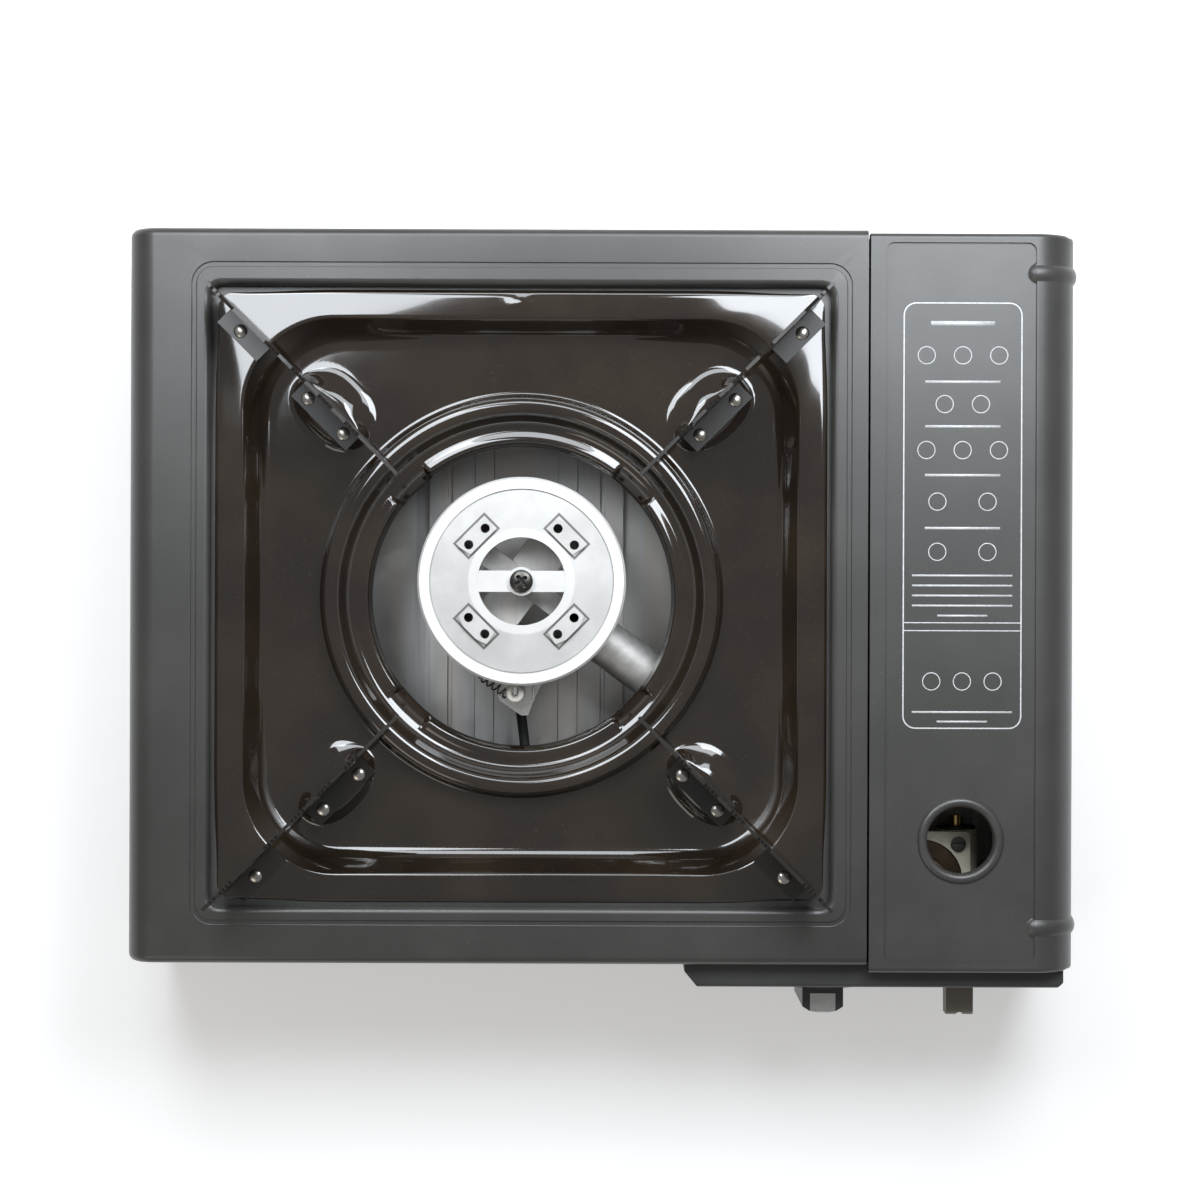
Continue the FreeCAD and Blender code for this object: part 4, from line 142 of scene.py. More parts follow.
class Graph:
    """The node tree of one material or world."""

    def __init__(self, tree: bpy.types.NodeTree) -> None:
        """Start from an empty tree."""
        self.tree = tree
        tree.nodes.clear()

    def node(self, kind: str, settings: dict[str, Any] | None = None,
             inputs: dict[Any, Any] | None = None) -> bpy.types.Node:
        """Add one node.

        Args:
            kind: The node's type.
            settings: Properties that are set before the sockets; "stops" fills a ramp.
            inputs: Values, wires or nodes for the sockets, by name or index.

        Returns:
            The new node.
        """
        item = self.tree.nodes.new(kind)
        for key, value in (settings or {}).items():
            if key == "stops":
                ramp = item.color_ramp.elements
                while len(ramp) < len(value):
                    ramp.new(0.5)
                for stop, (place, tint) in zip(ramp, value):
                    stop.position = place
                    stop.color = (*tint, 1.0)
            else:
                setattr(item, key, value)
        for key, value in (inputs or {}).items():
            socket = item.inputs[key]
            if isinstance(value, Wire):
                self.tree.links.new(value.socket, socket)
            elif isinstance(value, (tuple, list)) and socket.type == "RGBA" and len(value) == 3:
                socket.default_value = (*value, 1.0)
            else:
                socket.default_value = value
        return item

    def wire(self, kind: str, settings: dict[str, Any] | None = None,
             inputs: dict[Any, Any] | None = None, output: Any = 0) -> Wire:
        """Add one node and give one of its outputs as a wire."""
        return Wire(self, self.node(kind, settings, inputs).outputs[output])

    def place(self) -> Wire:
        """Object coordinates, in metres."""
        return self.wire("ShaderNodeTexCoord", output="Object")

    def moved(self, centre: Vector, turn: float = 0.0, scale: Sequence[float] = (1, 1, 1)) -> Wire:
        """Object coordinates about a point, turned about Z and scaled.

        Args:
            centre: The point that becomes the origin.
            turn: Turn about Z in degrees.
            scale: Scale along each axis.

        Returns:
            The mapped coordinates.
        """
        shifted = self.wire("ShaderNodeVectorMath", {"operation": "SUBTRACT"},
                            {0: self.place(), 1: tuple(centre)})
        return self.wire("ShaderNodeMapping", {"vector_type": "POINT"},
                         {"Vector": shifted, "Rotation": (0, 0, -math.radians(turn)), "Scale": scale})

    def axes(self, vector: Wire) -> tuple[Wire, Wire, Wire]:
        """The three parts of a vector."""
        node = self.node("ShaderNodeSeparateXYZ", inputs={0: vector})
        return Wire(self, node.outputs[0]), Wire(self, node.outputs[1]), Wire(self, node.outputs[2])

    def grain(self, size: float, detail: float = 3.0, rough: float = 0.5, vector: Wire | None = None,
              warp: float = 0.0) -> Wire:
        """Noise over the surface.

        Args:
            size: About the size of its features in millimetres.
            detail: How many finer layers are added.
            rough: Share of the finer layers.
            vector: Coordinates, the object's own if left out.
            warp: How far the noise is drawn out of shape.

        Returns:
            The noise, from 0 to 1.
        """
        return self.wire("ShaderNodeTexNoise", None,
                         {"Vector": vector or self.place(), "Scale": 1.0 / (size * MM),
                          "Detail": detail, "Roughness": rough, "Distortion": warp})

    def cells(self, size: float, output: str = "Color", vector: Wire | None = None) -> Wire:
        """Random cells of about the given size in millimetres."""
        return self.wire("ShaderNodeTexVoronoi", {"feature": "F1"},
                         {"Vector": vector or self.place(), "Scale": 1.0 / (size * MM)}, output)

    def blend(self, mask: Any, first: Any, second: Any, mode: str = "MIX") -> Wire:
        """Mix two colours.

        Args:
            mask: 0 for the first, 1 for the second.
            first: A colour or wire.
            second: A colour or wire.
            mode: The Mix node's blending.

        Returns:
            The mixed colour.
        """
        node = self.node("ShaderNodeMix", {"data_type": "RGBA", "blend_type": mode},
                         {0: mask})
        for index, value in ((6, first), (7, second)):
            if isinstance(value, Wire):
                self.tree.links.new(value.socket, node.inputs[index])
            else:
                node.inputs[index].default_value = (*value, 1.0)
        return Wire(self, node.outputs[2])

    def bump(self, height: Wire, depth: float, under: Wire | None = None, strength: float = 1.0) -> Wire:
        """Normal from a height.

        Args:
            height: Height from 0 to 1.
            depth: What a height of 1 stands for, in millimetres.
            under: Another bump's normal beneath this one.
            strength: Share of the effect.

        Returns:
            The bumped normal.
        """
        inputs = {"Height": height, "Distance": depth * MM, "Strength": strength}
        if under is not None:
            inputs["Normal"] = under
        return self.wire("ShaderNodeBump", None, inputs)

    def surface(self, **sockets: Any) -> None:
        """End the tree in a Principled surface.

        Args:
            sockets: Values by socket name; an underscore stands for a space.
        """
        inputs = {key.replace("_", " "): value for key, value in sockets.items()}
        shader = self.wire("ShaderNodeBsdfPrincipled", None, inputs)
        self.node("ShaderNodeOutputMaterial", None, {"Surface": shader})


# Finishes


@dataclass(frozen=True)
class Finish:
    """What every finish shares: a name and one material made on first use."""

    name: str

    def material(self) -> bpy.types.Material:
        """Make the finish's material, or find it.

        Returns:
            The material.
        """
        label = "finish_" + self.name
        known = bpy.data.materials.get(label)
        if known is None:
            known = bpy.data.materials.new(label)
            known.use_nodes = True
            self.lay(Graph(known.node_tree))
        return known

    def lay(self, graph: Graph) -> None:
        """Fill the material's graph."""
        raise NotImplementedError


@dataclass(frozen=True)
class PowderCoat(Finish):
    """Satin black coat on pressed sheet, with fine peel and faint handling marks."""

    tint: Colour = (0.03, 0.029, 0.027)
    roughness: float = 0.38
    peel: float = 0.7

    def lay(self, graph: Graph) -> None:
        """Fill the material's graph.

        Args:
            graph: The empty graph.
        """
        cloud = graph.grain(45, 4, 0.6)
        fine = graph.grain(self.peel, 2, 0.5)
        smear = graph.grain(18, 5, 0.7, graph.moved(Vector((0, 0, 0)), 12, (1, 0.35, 1)))
        tint = graph.blend(cloud.ease(0.35, 0.7), self.tint, tuple(1.35 * c for c in self.tint))
        dust = graph.blend(graph.grain(0.9, 1, 0.5).ease(0.72, 0.8, 0, 0.25), tint, (0.16, 0.15, 0.14))
        rough = self.roughness + (smear - 0.5) * 0.12 + (fine - 0.5) * 0.08
        relief = graph.bump(fine, 0.003, graph.bump(cloud, 0.03))
        graph.surface(Base_Color=dust, Roughness=rough, Normal=relief, Coat_Weight=0.25, Coat_Roughness=0.28)


@dataclass(frozen=True)
class Enamel(Finish):
    """Fired gloss enamel: flowing surface, pin specks and brown pools."""

    tint: Colour = (0.012, 0.008, 0.006)
    brown: Colour = (0.023, 0.016, 0.01)
    flow: float = 0.03
    roughness: float = 0.05
    coat: float = 0.8

    def lay(self, graph: Graph) -> None:
        """Fill the material's graph.

        Args:
            graph: The empty graph.
        """
        pool = graph.grain(38, 3, 0.5)
        wave = graph.grain(14, 2, 0.4, warp=0.4)
        peel = graph.grain(1.6, 1, 0.4)
        speck = graph.grain(0.8, 0, 0.5).ease(0.74, 0.82, 0, 0.35)
        tint = graph.blend(pool.ease(0.3, 0.75), self.tint, self.brown)
        tint = graph.blend(speck, tint, (0.05, 0.04, 0.03))
        relief = graph.bump(peel, 0.0008, graph.bump(wave, self.flow))
        graph.surface(Base_Color=tint, Roughness=self.roughness + pool * 0.07, Normal=relief,
                      Coat_Weight=self.coat, Coat_Roughness=0.03)


@dataclass(frozen=True)
class ZincSheet(Finish):
    """Galvanised sheet: spangle cells, rolling streaks along Y and light stains."""

    tint: Colour = (0.66, 0.67, 0.67)
    shade: Colour = (0.5, 0.5, 0.49)
    roughness: float = 0.36
    spangle: float = 7.0
    warm: Colour = (0.62, 0.57, 0.52)

    def lay(self, graph: Graph) -> None:
        """Fill the material's graph.

        Args:
            graph: The empty graph.
        """
        warped = graph.blend(0.0012, graph.place(), graph.wire("ShaderNodeTexNoise", None,
                             {"Scale": 300.0}, "Color"), "ADD")
        cell = graph.axes(graph.cells(self.spangle, "Color", warped))[0]
        streak = graph.grain(2.2, 3, 0.6, graph.moved(Vector((0, 0, 0)), 0, (1, 0.03, 1)))
        broad = graph.grain(11, 3, 0.55, graph.moved(Vector((0, 0, 0)), 0, (1, 0.05, 1)))
        stain = graph.grain(30, 5, 0.65)
        tint = graph.blend(cell * 0.2 + streak * 0.8, self.shade, self.tint)
        tint = graph.blend(broad.ease(0.4, 0.62, 0, 0.6), tint, self.warm)
        tint = graph.blend(broad.ease(0.28, 0.42, 0.55, 0), tint, (0.26, 0.27, 0.28))
        tint = graph.blend(stain.ease(0.6, 0.85, 0, 0.3), tint, (0.4, 0.38, 0.35))
        rough = self.roughness + (cell - 0.5) * 0.06 + (streak - 0.5) * 0.12
        relief = graph.bump(streak, 0.002, graph.bump(graph.grain(25, 2, 0.4), 0.03))
        graph.surface(Base_Color=tint, Metallic=0.95, Roughness=rough, Normal=relief)


@dataclass(frozen=True)
class CastMetal(Finish):
    """As-cast light alloy: sandy grain, dull mottling and small pits."""

    tint: Colour = (0.6, 0.59, 0.57)
    shade: Colour = (0.36, 0.35, 0.33)
    roughness: float = 0.45
    sand: float = 0.8
    metal: float = 0.85

    def lay(self, graph: Graph) -> None:
        """Fill the material's graph.

        Args:
            graph: The empty graph.
        """
        mottle = graph.grain(9, 5, 0.65)
        sand = graph.grain(self.sand, 3, 0.6)
        pit = graph.cells(self.sand * 3, "Distance").ease(0.08, 0.16)
        tint = graph.blend(mottle.ease(0.3, 0.7), self.shade, self.tint)
        rough = self.roughness + (sand - 0.5) * 0.2
        relief = graph.bump(sand, 0.012, graph.bump(pit, 0.01))
        graph.surface(Base_Color=tint, Metallic=self.metal, Roughness=rough, Normal=relief)


@dataclass(frozen=True)
class CapAlloy(Finish):
    """Burner cap: a bright turned rim round a blasted, pale grey face, with painted shade as a dark line
    round each raised pad.
    """

    centre: tuple[float, float, float] = (0, 0, 0)
    rim: float = 33.6
    lip: float = 19.2
    pad: tuple[float, float, float] = (23.2, 14.8, 6.9)

    def lay(self, graph: Graph) -> None:
        """Fill the material's graph.

        Args:
            graph: The empty graph.
        """
        x, y, _ = graph.axes(graph.moved(Vector(self.centre)))
        radius = (x * x + y * y).power(0.5) / MM
        outer = radius.ease(self.rim - 0.3, self.rim + 0.3)
        inner = radius.ease(self.lip - 0.2, self.lip + 0.5, 1, 0)
        bright = outer.apply("MAXIMUM", outer, inner * 0.4)
        across = x.apply("ABSOLUTE", x)
        along = y.apply("ABSOLUTE", y)
        out = (across + along) * (math.sqrt(0.5) / MM) - self.pad[0]
        aside = (along - across) * (math.sqrt(0.5) / MM)
        edge = out.apply("ABSOLUTE", out) - self.pad[2] / 2
        edge = edge.apply("MAXIMUM", edge, aside.apply("ABSOLUTE", aside) - self.pad[1] / 2)
        # Painted shade: a dark line round each raised pad stands in for the shadow along its edges.
        pad_shade_line = edge - 0.25
        pad_shade_line = pad_shade_line.apply("ABSOLUTE", pad_shade_line).ease(0.25, 0.6, 0.85, 0)
        turned = graph.grain(0.4, 1, 0.5, graph.wire("ShaderNodeCombineXYZ", None, {0: radius * MM}))
        blast = graph.grain(0.5, 2, 0.6)
        mottle = graph.grain(14, 4, 0.6)
        face = graph.blend(mottle.ease(0.3, 0.75), (0.46, 0.455, 0.445), (0.54, 0.535, 0.525))
        tint = graph.blend(bright, face, (0.72, 0.715, 0.7))
        # The painted shade darkens the face almost to black round the pads.
        tint = graph.blend(pad_shade_line, tint, (0.07, 0.066, 0.06))
        rough = 0.62 + (blast - 0.5) * 0.16 - bright * 0.12 + (turned - 0.5) * bright * 0.1
        relief = graph.bump(blast * (1 - bright), 0.006, graph.bump(turned * bright, 0.002))
        graph.surface(Base_Color=tint, Metallic=0.35, Roughness=rough, Normal=relief)


@dataclass(frozen=True)
class PlainMetal(Finish):
    """Worked metal with fine lines along one axis."""

    tint: Colour = (0.6, 0.6, 0.58)
    shade: Colour = (0.42, 0.42, 0.4)
    roughness: float = 0.3
    lines: tuple[float, float, float] = (1, 1, 1)
    metal: float = 1.0

    def lay(self, graph: Graph) -> None:
        """Fill the material's graph.

        Args:
            graph: The empty graph.
        """
        line = graph.grain(0.35, 2, 0.6, graph.moved(Vector((0, 0, 0)), 0, self.lines))
        tarnish = graph.grain(8, 4, 0.6)
        tint = graph.blend(tarnish.ease(0.35, 0.75), self.tint, self.shade)
        rough = self.roughness + (line - 0.5) * 0.18 + (tarnish - 0.5) * 0.1
        graph.surface(Base_Color=tint, Metallic=self.metal, Roughness=rough,
                      Normal=graph.bump(line, 0.0015))


@dataclass(frozen=True)
class Moulding(Finish):
    """Moulded plastic with a spark texture and faint gloss variation."""

    tint: Colour = (0.03, 0.03, 0.03)
    roughness: float = 0.45
    spark: float = 0.35
    depth: float = 0.005

    def lay(self, graph: Graph) -> None:
        """Fill the material's graph.

        Args:
            graph: The empty graph.
        """
        spark = graph.grain(self.spark, 3, 0.6)
        flow = graph.grain(24, 3, 0.5)
        tint = graph.blend(flow.ease(0.3, 0.7), self.tint, tuple(1.25 * c + 0.003 for c in self.tint))
        rough = self.roughness + (spark - 0.5) * 0.12 + (flow - 0.5) * 0.06
        graph.surface(Base_Color=tint, Roughness=rough, Normal=graph.bump(spark, self.depth))


@dataclass(frozen=True)
class Rubber(Finish):
    """Soft black rubber with a dusty bloom."""

    tint: Colour = (0.018, 0.018, 0.018)

    def lay(self, graph: Graph) -> None:
        """Fill the material's graph.

        Args:
            graph: The empty graph.
        """
        bloom = graph.grain(6, 4, 0.7)
        skin = graph.grain(0.5, 2, 0.5)
        tint = graph.blend(bloom.ease(0.45, 0.8, 0, 0.6), self.tint, (0.05, 0.05, 0.048))
        graph.surface(Base_Color=tint, Roughness=0.6 + (skin - 0.5) * 0.2, Normal=graph.bump(skin, 0.006))


@dataclass(frozen=True)
class Glaze(Finish):
    """Glazed ceramic: warm white with faint crazing and a smoky tip."""

    smoke: float = 0.062

    def lay(self, graph: Graph) -> None:
        """Fill the material's graph.

        Args:
            graph: The empty graph.
        """
        height = graph.axes(graph.place())[2]
        smoke = height.ease(self.smoke - 0.004, self.smoke + 0.003, 0, 0.5)
        mottle = graph.grain(3, 3, 0.6)
        tint = graph.blend(mottle.ease(0.4, 0.8, 0, 0.5), (0.8, 0.78, 0.72), (0.7, 0.66, 0.58))
        tint = graph.blend(smoke, tint, (0.3, 0.27, 0.24))
        graph.surface(Base_Color=tint, Roughness=0.22 + mottle * 0.08, Coat_Weight=0.4,
                      Coat_Roughness=0.08, Normal=graph.bump(mottle, 0.004))


@dataclass(frozen=True)
class Print(Finish):
    """Pale screen print with slightly uneven ink."""

    tint: Colour = (0.62, 0.63, 0.64)

    def lay(self, graph: Graph) -> None:
        """Fill the material's graph.

        Args:
            graph: The empty graph.
        """
        ink = graph.grain(1.2, 3, 0.6)
        tint = graph.blend(ink.ease(0.3, 0.75), tuple(0.75 * c for c in self.tint), self.tint)
        graph.surface(Base_Color=tint, Roughness=0.5 + (ink - 0.5) * 0.1, Normal=graph.bump(ink, 0.002))


class Paint(Enum):
    """The finishes of the stove, by where they are used."""

    CASE = PowderCoat("case_powder_coat")
    LID = PowderCoat("lid_powder_coat", (0.032, 0.031, 0.029), 0.4)
    PAN = Enamel("pan_enamel")
    ARM = Enamel("arm_enamel", (0.01, 0.009, 0.008), (0.022, 0.017, 0.013), 0.02, 0.32, 0.15)
    ZINC = ZincSheet("zinc_sheet")
    INNER = ZincSheet("inner_sheet", (0.52, 0.52, 0.51), (0.38, 0.38, 0.37), 0.4, 9.0)
    TUBE = CastMetal("tube_alloy", (0.5, 0.49, 0.475), (0.36, 0.35, 0.335), 0.6, 0.8, 0.7)
    DIE = CastMetal("die_casting", (0.84, 0.78, 0.64), (0.66, 0.6, 0.48), 0.4, 0.6, 0.3)
    COVER = PlainMetal("cover_lacquer", (0.11, 0.075, 0.045), (0.06, 0.042, 0.028), 0.3, (1, 1, 1), 0.7)
    BRASS = PlainMetal("brass", (0.72, 0.52, 0.22), (0.5, 0.35, 0.15), 0.28)
    STEEL = PlainMetal("plated_steel", (0.66, 0.66, 0.64), (0.5, 0.5, 0.48), 0.27)
    DARK = PlainMetal("dark_screw", (0.09, 0.085, 0.08), (0.05, 0.05, 0.048), 0.32)
    RIVET = PlainMetal("rivet_steel", (0.5, 0.48, 0.44), (0.32, 0.3, 0.27), 0.25)
    SATIN = PlainMetal("satin_insert", (0.5, 0.5, 0.49), (0.38, 0.38, 0.37), 0.38, (1, 1, 0.05), 0.85)
    PANEL = Moulding("panel_moulding", (0.03, 0.03, 0.029), 0.42)
    KNOB = Moulding("knob_moulding", (0.022, 0.022, 0.022), 0.33, 0.3, 0.002)
    LEVER = Moulding("lever_moulding", (0.13, 0.115, 0.095), 0.45)
    IGNITER = Moulding("igniter_moulding", (0.02, 0.02, 0.022), 0.4)
    NYLON = Moulding("nylon", (0.6, 0.58, 0.52), 0.4)
    CLIP = Moulding("clip_nylon", (0.06, 0.06, 0.06), 0.45)
    LEAD = Rubber("lead_insulation", (0.014, 0.014, 0.014))
    FOOT = Rubber("foot_rubber")
    SEAL = Rubber("seal_rubber", (0.03, 0.027, 0.024))
    CERAMIC = Glaze("ceramic_glaze")
    PRINT = Print("lid_print")


# Mesh making


def body_of(node: str) -> str:
    """Name of the body that carries a node."""
    return frame["nodes"][node]["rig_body"]


def link(name: str, mesh: bpy.types.Mesh) -> bpy.types.Object:
    """Put a mesh in the scene.

    Args:
        name: Name of the piece.
        mesh: Its mesh.

    Returns:
        An object at the origin.
    """
    item = bpy.data.objects.new(name, mesh)
    bpy.context.scene.collection.objects.link(item)
    return item


def from_bmesh(name: str, bm: bmesh.types.BMesh) -> bpy.types.Object:
    """Close a bmesh and put it in the scene.

    Args:
        name: Name of the piece.
        bm: The mesh under work.

    Returns:
        An object at the origin.
    """
    mesh = bpy.data.meshes.new(name)
    bm.to_mesh(mesh)
    bm.free()
    return link(name, mesh)


def bake(item: bpy.types.Object) -> bpy.types.Object:
    """Replace a mesh by its evaluated form and drop the modifiers.

    Args:
        item: The piece with its modifiers.

    Returns:
        The same piece with a plain mesh.
    """
    graph = bpy.context.evaluated_depsgraph_get()
    graph.update()
    mesh = bpy.data.meshes.new_from_object(item.evaluated_get(graph), depsgraph=graph)
    item.modifiers.clear()
    item.data = mesh
    return item


def polish(item: bpy.types.Object, bevel: float = 0.0, angle: float = 32.0,
           segments: int = 2) -> bpy.types.Object:
    """Round the sharp edges and shade by area-weighted normals.

    Args:
        item: The piece.
        bevel: Width of the rounding in millimetres, 0 for none.
        angle: Edges sharper than this stay sharp, in degrees.
        segments: Faces across each rounding.

    Returns:
        The same piece, baked.
    """
    mesh = item.data
    for face in mesh.polygons:
        face.use_smooth = True
    if bevel:
        edge = item.modifiers.new("edge", "BEVEL")
        edge.width = bevel * MM
        edge.segments = segments
        edge.limit_method = "ANGLE"
        edge.angle_limit = math.radians(angle)
        edge.use_clamp_overlap = True
        edge.miter_outer = "MITER_ARC"
    else:
        mesh.set_sharp_from_angle(angle=math.radians(angle))
    weight = item.modifiers.new("weight", "WEIGHTED_NORMAL")
    weight.keep_sharp = True
    weight.weight = 60
    return bake(item)


def finish_piece(item: bpy.types.Object, paint: Paint, body: str, *nodes: str,
                 slot: str | None = None) -> bpy.types.Object:
    """Dress a piece and tie it to the frame.

    Args:
        item: The piece, in place.
        paint: Its finish.
        body: The body that it rides on.
        nodes: CAD nodes that it stands for.
        slot: Not used.

    Returns:
        The same piece.
    """
    item.data.materials.clear()
    item.data.materials.append(paint.value.material())
    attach(item, body)
    if nodes:
        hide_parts(*nodes)
    LOG.info("%-26s on %-9s %6d faces", item.name, body, len(item.data.polygons))
    return item


def merged_copy(node: str) -> bmesh.types.BMesh:
    """Copy a CAD node's surface with its triangles joined and flat areas whole.

    Args:
        node: The node's name.

    Returns:
        The copy.
    """
    bm = bmesh.new()
    bm.from_mesh(frame["nodes"][node].data)
    bmesh.ops.remove_doubles(bm, verts=bm.verts, dist=WELD)
    bmesh.ops.dissolve_limit(bm, angle_limit=math.radians(FLAT_ANGLE), verts=bm.verts, edges=bm.edges)
    return bm


def skin(node: str, paint: Paint, bevel: float = 0.0, angle: float = 32.0,
         segments: int = 2) -> bpy.types.Object:
    """Make a finished copy of a CAD node with softened edges, in the node's place.

    Args:
        node: The node's name.
        paint: The copy's finish.
        bevel: Width of the rounding in millimetres, 0 for none.
        angle: Edges sharper than this are rounded or stay sharp, in degrees.
        segments: Faces across each rounding.

    Returns:
        The copy, which replaces the node.
    """
    item = from_bmesh(node + "_form", merged_copy(node))
    polish(item, bevel, angle, segments)
    return finish_piece(item, paint, body_of(node), node)


def rings(name: str, loops: Sequence[Sequence[Vector]]) -> bpy.types.Object:
    """Skin closed loops of equal length with quads.

    Args:
        name: Name of the piece.
        loops: Points of each loop, the outermost first.

    Returns:
        The open skin.
    """
    bm = bmesh.new()
    rows = [[bm.verts.new(p) for p in loop] for loop in loops]
    count = len(rows[0])
    for near, far in zip(rows, rows[1:]):
        for i in range(count):
            j = (i + 1) % count
            bm.faces.new((near[i], near[j], far[j], far[i]))
    return from_bmesh(name, bm)


def squircle(direction: float, half: float, corner: float) -> float:
    """Distance from the centre to a round-cornered square along a direction.

    Args:
        direction: Angle in radians.
        half: Half the square's width.
        corner: Radius of its corners.

    Returns:
        The distance, in the units of the arguments.
    """
    c, s = abs(math.cos(direction)), abs(math.sin(direction))
    reach = half / max(c, s)
    inner = half - corner
    if min(c, s) * reach <= inner:
        return reach
    along = inner * (c + s)
    return along + math.sqrt(max(0.0, along * along - 2 * inner * inner + corner * corner))


def smooth(value: float, low: float, high: float) -> float:
    """Smooth step of a number from 0 at low to 1 at high."""
    t = min(1.0, max(0.0, (value - low) / (high - low)))
    return t * t * (3 - 2 * t)


class RepeatTree:
    """A Geometry Nodes tree that sets one form on every point of a mesh."""

    def __init__(self, name: str, sizes: dict[str, float]) -> None:
        """Make the tree with its named inputs.

        Args:
            name: The tree's name.
            sizes: Input names and their default values, in metres.
        """
        self.tree = bpy.data.node_groups.new(name, "GeometryNodeTree")
        face = self.tree.interface
        face.new_socket("Points", in_out="INPUT", socket_type="NodeSocketGeometry")
        for key, value in sizes.items():
            socket = face.new_socket(key, in_out="INPUT", socket_type="NodeSocketFloat")
            socket.default_value = value
        face.new_socket("Finish", in_out="INPUT", socket_type="NodeSocketMaterial")
        face.new_socket("Form", in_out="OUTPUT", socket_type="NodeSocketGeometry")
        self.entry = self.tree.nodes.new("NodeGroupInput")
        self.exit = self.tree.nodes.new("NodeGroupOutput")

    def node(self, kind: str, settings: dict[str, Any] | None = None,
             inputs: dict[Any, Any] | None = None) -> bpy.types.Node:
        """Add one node.

        Args:
            kind: The node's type.
            settings: Properties that are set before the sockets.
            inputs: Values or output sockets for its inputs, by name or index.

        Returns:
            The new node.
        """
        item = self.tree.nodes.new(kind)
        for key, value in (settings or {}).items():
            setattr(item, key, value)
        for key, value in (inputs or {}).items():
            if isinstance(value, bpy.types.NodeSocket):
                self.tree.links.new(value, item.inputs[key])
            else:
                item.inputs[key].default_value = value
        return item

    def size(self, name: str) -> bpy.types.NodeSocket:
        """A named input of the tree."""
        return self.entry.outputs[name]

    def close(self, form: bpy.types.NodeSocket) -> None:
        """Set the form on the points, make it real and give it its finish.

        Args:
            form: The form's geometry.
        """
        spread = self.node("GeometryNodeInstanceOnPoints", None,
                           {"Points": self.size("Points"), "Instance": form})
        real = self.node("GeometryNodeRealizeInstances", None, {"Geometry": spread.outputs[0]})
        shade = self.node("GeometryNodeSetShadeSmooth", None, {"Geometry": real.outputs[0]})
        coat = self.node("GeometryNodeSetMaterial", None,
                         {"Geometry": shade.outputs[0], "Material": self.size("Finish")})
        self.tree.links.new(coat.outputs[0], self.exit.inputs[0])

    def grow(self, name: str, spots: Iterable[Vector], paint: Paint, **sizes: float) -> bpy.types.Object:
        """Run the tree on a set of points.

        Args:
            name: Name of the piece.
            spots: Where the forms go.
            paint: Their finish.
            sizes: Values for the named inputs; an underscore stands for a space.

        Returns:
            A plain mesh object.
        """
        bm = bmesh.new()
        for spot in spots:
            bm.verts.new(spot)
        item = from_bmesh(name, bm)
        mod = item.modifiers.new("repeat", "NODES")
        mod.node_group = self.tree
        keys = {s.name: s.identifier for s in self.tree.interface.items_tree if s.in_out == "INPUT"}
        mod[keys["Finish"]] = paint.value.material()
        for key, value in sizes.items():
            mod[keys[key.replace("_", " ")]] = value
        return bake(item)


def dome_tree() -> RepeatTree:
    """Build the tree for low domed heads, such as rivets.

    Returns:
        The tree.
    """
    tree = RepeatTree("domed_heads", {"Head Radius": 0.0025, "Rise": 0.0011})
    ball = tree.node("GeometryNodeMeshUVSphere", None, {"Segments": 28, "Rings": 14, "Radius": 1.0})
    size = tree.node("ShaderNodeCombineXYZ", None,
                     {0: tree.size("Head Radius"), 1: tree.size("Head Radius"), 2: tree.size("Rise")})
    form = tree.node("GeometryNodeTransform", None,
                     {"Geometry": ball.outputs[0], "Scale": size.outputs[0]})
    tree.close(form.outputs[0])
    return tree


def bar_tree() -> RepeatTree:
    """Build the tree for thin flat bars, such as printed rules.

    Returns:
        The tree.
    """
    tree = RepeatTree("flat_bars", {"Length": 0.02, "Width": 0.0005, "Rise": 0.00003})
    size = tree.node("ShaderNodeCombineXYZ", None,
                     {0: tree.size("Length"), 1: tree.size("Width"), 2: tree.size("Rise")})
    cube = tree.node("GeometryNodeMeshCube", None, {"Size": size.outputs[0]})
    tree.close(cube.outputs[0])
    return tree


def ring_tree() -> RepeatTree:
    """Build the tree for thin flat rings, such as printed circles.

    Returns:
        The tree.
    """
    tree = RepeatTree("flat_rings", {"Ring Radius": 0.003, "Width": 0.0004, "Rise": 0.00002})
    path = tree.node("GeometryNodeCurvePrimitiveCircle", None, {"Resolution": 40})
    tree.tree.links.new(tree.size("Ring Radius"), path.inputs["Radius"])
    line = tree.node("GeometryNodeCurvePrimitiveQuadrilateral")
    tree.tree.links.new(tree.size("Width"), line.inputs[0])
    tree.tree.links.new(tree.size("Rise"), line.inputs[1])
    form = tree.node("GeometryNodeCurveToMesh", None,
                     {"Curve": path.outputs[0], "Profile Curve": line.outputs[0]})
    tree.close(form.outputs[0])
    return tree


